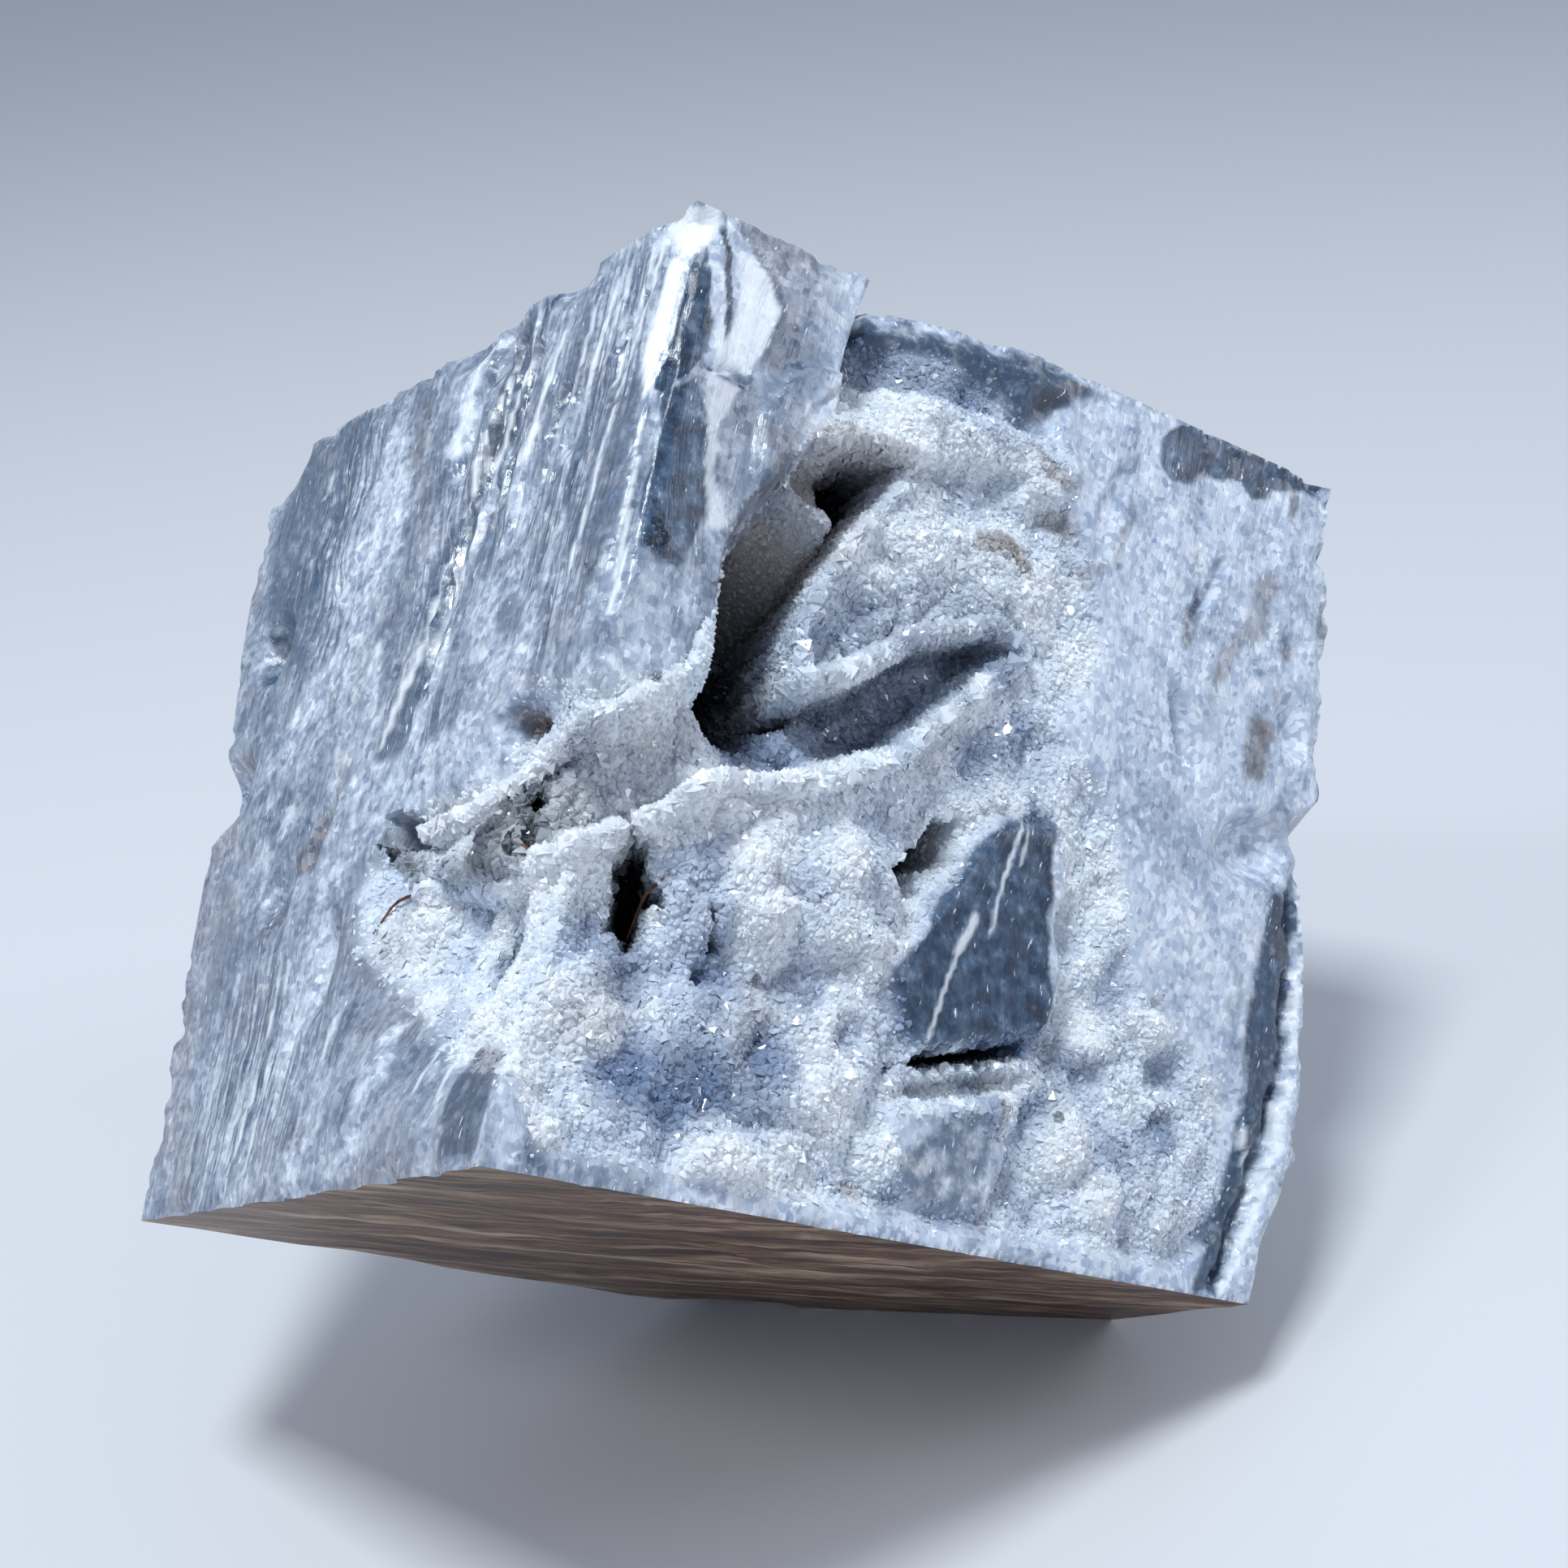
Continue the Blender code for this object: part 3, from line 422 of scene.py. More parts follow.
# The ridge is rounded where it is whole: radius in mm, and the heights over which that begins
RIDGE_RADIUS = 3.6
RIDGE_WHOLE = (34.0, 44.0)
# The thin shell of white quartz along the right edge, and the groove of dark stone beside it
RIM_SHELL = [
    (75.2, 36.6), (77.0, 31.4), (77.6, 25.7), (77.8, 19.2), (77.4, 14.3), (75.6, 8.4), (74.3, 4.2), (73.5, 0.8),
    (73.5, -4.0), (90.0, -4.0), (90.0, 36.6),
]
RIM_LIFT = 0.5
RIM_GROOVE = 1.1
# Chips along the outline of the front, in mm: how deep, how long and how far in
CHIP_DEPTH = 1.0
CHIP_SIZE = 2.6
CHIP_REACH = 2.2
# How far the right and left edges bulge past a straight line: up and mm
RIGHT_BULGE = [
    (0.0, 0.0), (6.0, 1.1), (10.5, 3.2), (12.5, 4.2), (21.0, 3.8), (28.5, 3.0), (37.0, 1.0), (41.5, 0.0),
    (44.5, 2.6), (50.0, 2.3), (57.5, 1.8), (62.5, 1.3), (66.0, 0.0),
]
LEFT_BULGE = [(44.0, 0.0), (50.0, 1.0), (60.0, 1.4), (66.0, 0.6), (70.0, 0.0)]
BULGE_WIDTH = 11.0
# The wall of the recess behind the prow, which stands out from the dark gap: place, half sizes and turn
RECESS_WALL = (15.6, 54.6, 6.0, 7.5, 18.0)
RECESS_RISE = 5.0
# Holes through the crust, as outlines on the chart, and their depth
HOLES = [
    [(5.2, 26.4), (6.9, 25.0), (7.9, 23.0), (10.2, 21.9), (10.4, 20.6), (8.4, 20.2), (6.4, 18.2), (4.2, 17.6),
     (4.0, 20.0), (3.8, 23.2)],
    [(-3.0, 25.0), (-2.9, 28.6), (-1.6, 29.6), (-0.4, 29.0), (-0.6, 25.4)],
    [(30.2, 26.2), (31.6, 29.2), (34.2, 31.0), (34.6, 32.2), (36.2, 32.4), (36.4, 29.6), (33.4, 26.8),
     (31.5, 25.4)],
    [(-25.0, 28.2), (-21.8, 27.9), (-20.2, 25.6), (-21.3, 23.4), (-24.2, 24.8)],
    [(33.6, 12.6), (37.8, 14.4), (42.7, 15.4), (46.7, 17.0), (46.9, 15.8), (42.6, 14.0), (38.0, 13.0)],
    [(16.6, 57.3), (18.4, 55.8), (20.3, 54.6), (22.3, 56.4), (24.0, 58.9), (19.5, 57.9)],
    [(14.4, 21.0), (15.1, 21.0), (16.6, 18.2), (16.0, 17.9)],
]
HOLE_DEPTH = 8.0
# Cracks and slits: a line on the chart, its half width and its depth
SLITS = [
    ([(4.0, 59.0), (5.6, 59.4), (7.6, 58.9)], 0.35, 0.5), ([(59.0, 62.0), (58.2, 59.0), (57.0, 56.5)], 0.5, 0.9),
    ([(-21.5, 68.0), (-22.6, 61.5), (-23.6, 55.5)], 0.6, 0.9), ([(-13.0, 60.5), (-13.6, 57.0)], 0.5, 0.8),
    ([(-18.6, 66.5), (-19.8, 60.0), (-20.8, 53.0)], 0.5, 0.7), ([(-26.0, 66.0), (-27.6, 58.0)], 0.6, 0.7),
    ([(0.4, 58.0), (-0.2, 52.5), (0.0, 44.5), (0.2, 38.5)], 0.5, 0.5), ([(-35.5, 31.5), (-37.0, 27.0)], 0.7, 0.8),
    ([(-24.0, 47.5), (-24.6, 41.0), (-26.4, 35.0)], 0.6, 0.6), ([(-3.5, 66.5), (-6.5, 61.5)], 0.4, 0.5),
]


def edge_distance(across, up):
    """Distance in mm from the outline of the front."""
    aside = np.minimum(across - across[[0]], across[[-1]] - across)
    return np.minimum(aside, np.minimum(up - up[:, [0]], up[:, [-1]] - up))


def shell_distance(points, across, up):
    """Distance from the ragged inner line of the shell along the right edge, negative in the shell."""
    return outline_distance(across + 0.75 * rough_noise(points, 1.9, 53), up, RIM_SHELL)


def hole_share(points, across, up):
    """1 in the holes through the crust, whose outlines are made ragged by noise."""
    ragged = 0.5 * rough_noise(points, 1.5, 19)
    nearest = np.min([outline_distance(across, up, hole) for hole in HOLES], axis=0)
    return smooth(ragged - nearest, -0.2, 0.25)


def round_spots(across, up, table):
    """1 at the middle of each round spot of a table, falling to nothing around it."""
    return np.max([bump(across, up, x, y, radius, radius) for x, y, radius in table], axis=0)


def fine_relief(points, across, up):
    """Further depth in mm: minus the knobs' heights on the druse, plus grooves, ribs and slits elsewhere. The
    ridge loses 0.41 r (1 - a/r)^2 at a distance a from its edge, which rounds it to about the radius r. A rib
    is 1 - |noise|, which has sharp crests."""
    druse = druse_share(across, up)
    knobby = sum(height * (knobs(points, size, seed) - KNOB_MEAN) for size, height, seed in KNOBS)
    drift = 0.5 * soft_noise(points, 9.0, 12)[..., None]
    along_bands = np.stack([across / 1.9, up / 17.0, across * 0.0], axis=-1) + drift
    fine = GROOVE_DEPTH * rough_noise(along_bands, 1.0, 11) * (1.0 - druse) - knobby * druse
    fine = fine + 0.10 * rough_noise(points, 2.4, 14) * (1.0 - druse)
    rib_place = np.stack([across / RIB_SIZE[0], up / RIB_SIZE[1], across * 0.0], axis=-1) + 1.5 * drift
    ribs = 0.5 * np.abs(soft_noise(rib_place, 1.0, 15)) + 0.5 * np.abs(soft_noise(rib_place, 0.45, 16))
    for x, y, half_width, half_height, turn, deep in RIBBED:
        fine = fine + 2.0 * deep * ribs * bump(across, up, x, y, half_width, half_height, turn)
    near = np.clip(1.0 - np.abs(across) / RIDGE_RADIUS, 0.0, 1.0)
    fine = fine + 0.41 * RIDGE_RADIUS * near**2 * smooth(up, *RIDGE_WHOLE)
    for line, half_width, slit in SLITS:
        fine = fine + slit * (1.0 - smooth(line_distance(across, up, line)[0], 0.0, 2.0 * half_width))
    for kind, places, width, height in SWELLS:
        fine = fine - height * mark_share(across, up, kind, places, width)
    fine = fine - LUMP_HEIGHT * druse * round_spots(across, up, LUMPS_OF_DRUSE)
    fine = fine + DIP_DEPTH * druse * round_spots(across, up, DIPS_OF_DRUSE)
    fine = fine + HOLE_DEPTH * hole_share(points, across, up)
    fine = fine - RECESS_RISE * bump(across, up, *RECESS_WALL)
    inside = smooth(-outline_distance(across, up, POCKET), 0.2, 1.2)
    for line, gap in GAPS:
        fine = fine + gap * inside * (1.0 - smooth(line_distance(across, up, line)[0], *GAP_REACH))
    off_shell = shell_distance(points, across, up)
    fine = fine - RIM_LIFT * smooth(-off_shell, 0.0, 0.7)
    fine = fine + RIM_GROOVE * smooth(off_shell, 0.0, 0.5) * (1.0 - smooth(off_shell, 0.8, 2.4))
    off_edge = edge_distance(across, up)
    chips = np.clip(rough_noise(points, CHIP_SIZE, 18), 0.0, 1.0) * (1.0 - smooth(off_edge, 0.0, CHIP_REACH))
    return fine * smooth(off_edge, 0.0, EDGE_FADE) + CHIP_DEPTH * chips


def bulges(across, up):
    """How far each place is pushed past the straight right and left edges, fading over the bulge's width."""
    to_right = np.interp(up, *np.transpose(RIGHT_BULGE)) * (1.0 - smooth(across[[-1]] - across, 0.0, BULGE_WIDTH))
    to_left = np.interp(up, *np.transpose(LEFT_BULGE)) * (1.0 - smooth(across - across[[0]], 0.0, BULGE_WIDTH))
    return to_right, to_left


to_right, to_left = bulges(across, up)
# Where each place of the sheet is seen on the chart once the bulges have moved it
seen = across + to_right - to_left
depth = np.maximum(depth + fine_relief(base, seen, up), -1.2)
left_along = face_axes(RIDGE_FOOT, LEFT_LOW, APEX, LEFT_TOP)[0]
sheet = shaped_front(base, across, up, out, depth)
sheet = sheet + RIGHT_ALONG * to_right[..., None] + left_along * to_left[..., None]
print("front sheet:", sheet.reshape(-1, 3).min(axis=0).round(1), "to", sheet.reshape(-1, 3).max(axis=0).round(1))

# %% [markdown]
# ## The sawn sides
#
# The roof and the three lower sides are plain sawn faces that meet the front along its broken edges. Boolean
# cuts would leave long thin triangles there. Instead each side is a grid of straight lines between its edges,
# and the moves of those edges fade into it over a few millimetres, so that neighbours share every point.

# %% Wear of the edges and the four sides
WEAR = 0.9
WEAR_SIZE = 9.0
WEAR_SEED = 8
WEAR_START = (0.5, 4.0)
SIDE_FADE = 4.0
# How far the front edge of the resting face is broken up the face above it: x and rise
BROKEN_EDGE = [(-20.0, 1.6), (-14.0, 1.9), (-9.5, 3.4), (-2.6, 2.2), (-1.4, 0.0)]
BROKEN_SLOPE = np.array([0.18, -1.0, 1.0])
BROKEN_FADE = 2.5
RESTING_RING = 0.72
# Small hollows on the sides: place in mm, radius and depth
SIDE_HOLLOWS = [
    (-14.0, 40.0, 64.0, 6.0, 1.6), (23.0, 30.0, 61.0, 5.0, 1.3), (-34.0, 28.0, 43.0, 6.0, 1.5),
    (38.0, 24.0, 31.0, 6.0, 1.8), (-14.0, 24.0, 26.0, 5.0, 1.2), (-8.0, -32.0, 26.0, 5.0, 1.0),
]
# Saw and band relief on the sides, in mm
SIDE_RELIEF = 0.14


def sheet_normals(grid):
    """Directions square to a grid of points: the cross product of its two slopes."""
    return unit(np.cross(np.gradient(grid, axis=0), np.gradient(grid, axis=1)))


def outward(grid):
    """Directions out of the block at the points of one of its faces."""
    normals = sheet_normals(grid)
    return normals * np.sign(np.mean(np.sum(normals * (grid - MIDDLE), axis=-1)))


def cut_point(corner):
    """Where the edge from a corner to FOOT meets the resting plane."""
    return FOOT + (corner - FOOT) * (-FOOT[2] / (corner[2] - FOOT[2]))


def wear(points):
    """How far the points of a sawn edge are chipped inwards, and its broken place is raised."""
    chips = WEAR * np.clip(soft_noise(points, WEAR_SIZE, WEAR_SEED), 0.0, 1.0)
    moves = unit(MIDDLE - points) * (chips * smooth(points[..., 2], *WEAR_START))[..., None]
    start, end = cut_point(LEFT_LOW), cut_point(RIGHT_LOW)
    off_edge = np.linalg.norm(np.cross(points - start, unit(end - start)), axis=-1)
    rise = np.interp(points[..., 0], [x for x, _ in BROKEN_EDGE], [rise for _, rise in BROKEN_EDGE])
    return moves + BROKEN_SLOPE * (rise * np.exp(-off_edge / BROKEN_FADE))[..., None]


def edge_moves(points, start_move):
    """Wear along an edge that leaves the front at its first point and takes over that point's own move."""
    away = np.exp(-np.linalg.norm(points - points[0], axis=-1) / SIDE_FADE)[:, None]
    moves = wear(points)
    return moves + (start_move - moves[0]) * away


def carry_edges(grid, low, high, first, last):
    """Moves a face's four edges by the given amounts, which fade out into the face as exp(-distance)."""
    fades = []
    for axis in (1, 0):
        step = np.linalg.norm(np.diff(grid, axis=axis), axis=-1)
        reach = np.cumsum(np.insert(step, 0, 0.0, axis=axis), axis=axis)
        ends = np.take(reach, [-1], axis=axis)
        fades.append(np.exp(-reach / SIDE_FADE) * (reach < ends))
        fades.append(np.exp((reach - ends) / SIDE_FADE) * (reach > 0.0))
    at_low, at_high, at_first, at_last = (fade[..., None] for fade in fades)
    moved = low[:, None] * at_low + high[:, None] * at_high + first[None] * at_first + last[None] * at_last
    twice_low = at_low * (low[0] * at_first + low[-1] * at_last)
    twice_high = at_high * (high[0] * at_first + high[-1] * at_last)
    return grid + moved - twice_low - twice_high


def with_hollows(grid):
    """A sawn side with its shallow hollows and the relief of its bands, both of which spare its edges."""
    depth = SIDE_RELIEF * rough_noise(grid * np.array([0.35, 1.0, 1.0]), 3.0, 17)
    for x, y, z, radius, deep in SIDE_HOLLOWS:
        distance = np.linalg.norm(grid - np.array([x, y, z]), axis=-1)
        depth = depth + deep * smooth(radius - distance, 0.0, radius)
    depth[[0, -1]] = 0.0
    depth[:, [0, -1]] = 0.0
    return grid - outward(grid) * depth[..., None]


def skirt(start, bend, end, first, second):
    """A side face with its lowest corner cut off: straight lines from its two upper edges to the cut edge."""
    upper = np.concatenate([start + (bend - start) * first[:, None], bend + (end - bend) * second[1:, None]])
    share = np.concatenate([first, 1.0 + second[1:]])[:, None] / 2.0
    lower = cut_point(start) + (cut_point(end) - cut_point(start)) * share
    fall = np.linspace(0.0, 1.0, SKIRT_STEPS + 1)[None, :, None]
    return upper[:, None] * (1.0 - fall) + lower[:, None] * fall


def sides(base, sheet, steps):
    """The roof and the three skirts, each meeting its neighbours along the same moved edges."""
    to_ridge, from_ridge, height = steps
    moved = sheet - base
    ridge = LEFT_STEPS
    from_apex = 1.0 - to_ridge[::-1]
    roof = patch(APEX, LEFT_TOP, RIGHT_TOP, BACK, from_apex, from_ridge)
    front = skirt(LEFT_LOW, RIDGE_FOOT, RIGHT_LOW, to_ridge, from_ridge)
    left = skirt(LEFT_LOW, LEFT_TOP, BACK, height, from_ridge)
    right = skirt(RIGHT_LOW, RIGHT_TOP, BACK, height, from_apex)
    left_back = edge_moves(roof[-1], moved[0, -1])
    right_back = edge_moves(roof[:, -1], moved[-1, -1])
    left_foot = edge_moves(front[0], moved[0, 0])
    right_foot = edge_moves(front[-1], moved[-1, 0])
    back_foot = wear(left[-1])
    roof = carry_edges(with_hollows(roof), moved[ridge::-1, -1], right_back, moved[ridge:, -1], left_back)
    front = carry_edges(with_hollows(front), moved[:, 0], wear(front[:, -1]), left_foot, right_foot)
    left_top = np.concatenate([moved[0], left_back[1:]])
    left = carry_edges(with_hollows(left), left_top, wear(left[:, -1]), left_foot, back_foot)
    right_top = np.concatenate([moved[-1], right_back[1:]])
    right = carry_edges(with_hollows(right), right_top, wear(right[:, -1]), right_foot, back_foot)
    return roof, front, left, right


def resting_rings(front, left, right):
    """The outline of the resting face, and a smaller flat one inside it."""
    outline = np.concatenate([front[:-1, -1], right[:-1, -1], left[:0:-1, -1]])
    middle = np.array([cut_point(corner) for corner in (LEFT_LOW, RIGHT_LOW, BACK)]).mean(axis=0)
    inner = middle + (outline - middle) * RESTING_RING
    inner[:, 2] = 0.0
    return outline, inner


roof, front, left, right = sides(base, sheet, steps)
outline, inner = resting_rings(front, left, right)
print("roof", roof.shape[:2], "front skirt", front.shape[:2], "left", left.shape[:2], "right", right.shape[:2])

# %% [markdown]
# ## The colours as maps
#
# Chalcedony is grey-blue where it is clear and white where tiny pores fill it, and iron tints it brown. On this
# block the bands run along the ridge, with dark slate lenses, warm smears and white seams. Painted glints,
# highlights and reflections of the polish and painted shade in the pocket are drawn the same way. A photograph
# would give all that at once, but only from one side. Here each mark is an outline or a line on the chart with a
# strength, its edges are disturbed by noise, and the strengths are kept on the mesh for the material to mix.

# %% Marks of slate, brown and white stone
# Each mark: "area" or "line", its points on the chart, how wide its edge or half width is, and its strength
SLATE_MARKS = [
    ("area", [(49.5, 67), (49.5, 71), (52.5, 73.5), (57, 74), (64.5, 74), (73, 75), (70, 72), (64, 70),
              (59.5, 69.5), (55, 68), (52, 66)], 0.7, 0.95),
    ("line", [(45.5, 72.5), (47, 69), (47.5, 63.5), (47, 57.5), (44, 55.5), (42.5, 55.5)], 0.6, 0.45),
    ("area", [(39.5, 33.5), (43, 35.5), (46, 34.5), (46, 30), (46, 26.5), (48.5, 19.5), (47.5, 16.5),
              (40.5, 14.5), (35, 14), (31.5, 18), (33, 22), (36, 27.5)], 0.8, 1.0),
    ("area", [(34.5, 2), (35, 6.5), (38.5, 9.5), (41.5, 11.5), (45, 11), (44.5, 7.5), (44, 2)],
              0.9, 0.6),
    ("area", [(71.8, 36), (71.4, 28.6), (71, 20.8), (72.8, 16), (71.6, 9.9), (70, 4.3), (69.8, -1),
              (73.5, -1), (74.3, 4.2), (75.6, 8.4), (77.4, 14.3), (77.8, 19.2), (77.6, 25.7),
              (77, 31.4), (75.2, 36.2)], 1.0, 0.85),
    ("line", [(69, 27), (70, 22)], 1.4, 0.4), ("line", [(66, 2), (66.5, 8)], 1.6, 0.35),
    ("area", [(0.1, 68.2), (1.3, 68.2), (2.4, 65.5), (3.3, 62), (3.5, 59.8), (0.9, 56.8), (-0.4, 57.5),
              (-0.3, 62)], 0.3, 1.0),
    ("area", [(0.5, 57), (3.3, 58.6), (5.2, 55.5), (5.9, 51), (6.6, 47.5), (5.6, 43.6), (3, 42),
              (1, 44), (0.5, 50)], 0.6, 0.95),
    ("line", [(2.0, 70.6), (2.5, 69.2), (3.2, 67.6), (4.3, 65.6), (4.7, 63.6), (5.3, 61.4)], 0.45, 0.95),
    ("line", [(4.0, 71.0), (6.5, 69.4), (8.6, 67.0), (9.6, 64.0), (8.6, 61.0)], 0.5, 0.65),
    ("line", [(3.2, 59.7), (5.4, 59.4), (7.4, 59.1)], 0.2, 0.9),
    ("area", [(-43.5, 72), (-43.5, 66), (-45, 60), (-46.5, 54), (-44.5, 48), (-49, 44), (-53, 47),
              (-58, 55), (-60, 62), (-57, 70)], 2.0, 0.6),
    ("line", [(-24.5, 53), (-25, 47.5), (-25.6, 42), (-28, 35)], 2.2, 0.65),
    ("line", [(-22, 69), (-21, 64), (-22.5, 58)], 2.4, 0.6),
    ("line", [(-12, 66), (-13.5, 59), (-14.5, 55)], 1.6, 0.55),
    ("line", [(-8, 60), (-9, 52), (-7, 46)], 1.5, 0.55), ("line", [(-14, 42), (-12.5, 41)], 1.7, 0.6),
    ("line", [(-18, 62), (-19.5, 54), (-20, 48)], 1.8, 0.55), ("line", [(-12, 52), (-11, 45)], 1.6, 0.5),
    ("line", [(-39, 20), (-41, 8)], 1.4, 0.4), ("line", [(-21, 12), (-24, 2)], 1.6, 0.4),
    ("line", [(-13, 12), (-15, 2)], 1.4, 0.35), ("line", [(-52, 14), (-55, 6)], 1.2, 0.35),
    ("line", [(-3.5, 57), (-3, 50), (-3, 43)], 1.8, 0.6),
    ("line", [(-20, 48), (-21.5, 40), (-22.5, 34)], 1.6, 0.4),
    ("area", [(-54, 31), (-49, 27), (-46, 20), (-48.5, 15), (-52, 18)], 1.2, 0.5),
    ("area", [(-6, 9), (-1.8, 8.4), (-1.3, 4.5), (-1.5, 0.6), (-6.5, 0.6), (-7, 5.5)], 0.35, 0.7),
    ("line", [(-54.5, 50.5), (-54, 48)], 1.6, 0.8), ("line", [(59.5, 38.5), (59.5, 35)], 4.0, 0.3),
    ("line", [(41.5, 69), (42.5, 63)], 2.0, 0.3), ("line", [(68, 53), (66.5, 47)], 2.0, 0.3),
    ("line", [(48.5, 24), (48.8, 18)], 1.2, 0.5),
    ("area", [(15.5, 71), (17.5, 65.5), (22, 63.8), (30, 66), (38, 67.5), (43, 72), (36, 73), (25, 72)],
              1.2, 0.75),
    ("area", [(8.5, 58.5), (9.5, 64), (12.5, 66), (13.5, 60), (12.5, 55), (9.5, 48.5), (7.6, 48)],
              0.8, 0.45),
    # The pool under the flap: blue-grey druse, with painted shade of the flap
    ("area", [(18.5, 38.5), (23, 40), (29, 45), (35, 48.4), (38.4, 47), (33.6, 42), (28.6, 36),
              (22, 33), (14, 33), (14, 37)], 0.5, 0.7),
    ("area", [(5, 9), (14, 12), (24, 14), (24, 6), (18, 4.5), (9, 4.5)], 2.5, 0.75),
    ("line", [(16, 14.5), (20, 16), (25, 15.5)], 1.6, 0.5),
    ("line", [(35.5, 38), (40, 41)], 2.0, 0.45), ("line", [(47, 5), (50, 12), (55, 22)], 1.5, 0.4),
    ("line", [(58, 9), (63, 12)], 2.0, 0.45),
]
BROWN_MARKS = [
    ("line", [(37, 68.5), (38, 70), (39, 71.5)], 1.2, 0.7),
    ("line", [(36.5, 64.5), (40.5, 63)], 0.9, 0.6), ("line", [(39.5, 60.5), (42, 59)], 0.8, 0.5),
    ("line", [(33, 55), (36.5, 55)], 1.0, 0.8),
    ("line", [(65.2, 61.9), (64.4, 57.7), (61, 52.8)], 1.5, 0.7),
    ("line", [(61, 52.8), (60.4, 49.5), (61, 47)], 1.2, 0.45),
    ("line", [(67.8, 48.8), (67, 44.6)], 1.6, 0.95), ("line", [(73.3, 61.3), (73.7, 60.3)], 1.1, 0.9),
    ("line", [(55, 64.5), (56.5, 58)], 0.3, 0.6), ("line", [(56.6, 57.5), (56.2, 54.5)], 1.1, 0.75),
    ("line", [(73.5, 34), (75, 30)], 1.6, 0.7), ("line", [(72, 41.5), (74, 38)], 1.4, 0.5),
    ("line", [(68.2, 58), (68.8, 57)], 0.9, 0.8), ("line", [(66.3, 70.5), (66.7, 69.5)], 0.7, 0.8),
    ("line", [(45, 11.5), (45, 7), (44.6, 2)], 0.7, 0.5),
    ("line", [(47.5, 63.5), (47, 57.5), (43, 55.2)], 0.5, 0.4),
    ("area", [(-34.6, 33.5), (-34.4, 29.5), (-36.3, 27), (-41, 24.5), (-43.5, 20.5), (-42.9, 24),
              (-39.8, 28), (-36.5, 31)], 0.5, 0.8),
    ("line", [(-35.5, 69), (-34.6, 65), (-34.2, 61)], 1.0, 0.6),
    ("line", [(-31, 58), (-31, 50), (-30, 42)], 2.0, 0.4),
    ("line", [(-23.4, 66), (-23.8, 60), (-25, 55)], 0.9, 0.7),
    ("line", [(-20.4, 62), (-21.6, 57)], 0.5, 0.7),
    ("line", [(9.6, 67), (10.2, 63), (9.4, 60.4)], 0.7, 0.5),
    ("line", [(1.0, 66), (1.6, 61), (1.8, 58.5)], 0.6, 0.4),
    ("line", [(-4.0, 52), (-3.6, 48)], 1.0, 0.4), ("line", [(-14, 33), (-9, 36), (-6, 40)], 1.2, 0.4),
    ("line", [(-30.5, 22.5), (-29.5, 19), (-28.5, 14.5)], 0.9, 0.75),
    ("line", [(-35, 34.5), (-34.5, 32.5)], 0.7, 0.7),
    ("line", [(-35, 49), (-35.5, 41.5), (-34.5, 35.5)], 2.4, 0.45),
    ("line", [(-26, 67.5), (-20, 67.5)], 2.0, 0.4),
    ("line", [(19, 24), (21, 22.6), (23.5, 21.5)], 0.35, 0.6),
    ("line", [(32.3, 3), (32.7, 3)], 0.7, 0.6),
    ("area", [(-6, 9), (-1.8, 8.4), (-1.3, 4.5), (-1.5, 0.6), (-6.5, 0.6), (-7, 5.5)], 0.4, 0.4),
    ("line", [(4.5, 11), (7.5, 14)], 2.0, 0.3), ("line", [(19.5, 12), (21, 14)], 2.0, 0.25),
    ("area", [(13, 58), (24, 59.5), (23, 54), (19, 47), (10, 42), (10, 50)], 0.8, 0.45),
    ("line", [(9.0, 45), (9.4, 50), (12.5, 55.5), (14.8, 61)], 0.4, 0.75),
    ("line", [(-8, 26), (2, 29), (8, 33)], 2.0, 0.35), ("line", [(-9.9, 32.5), (-7.9, 33.1)], 0.55, 1.0),
]
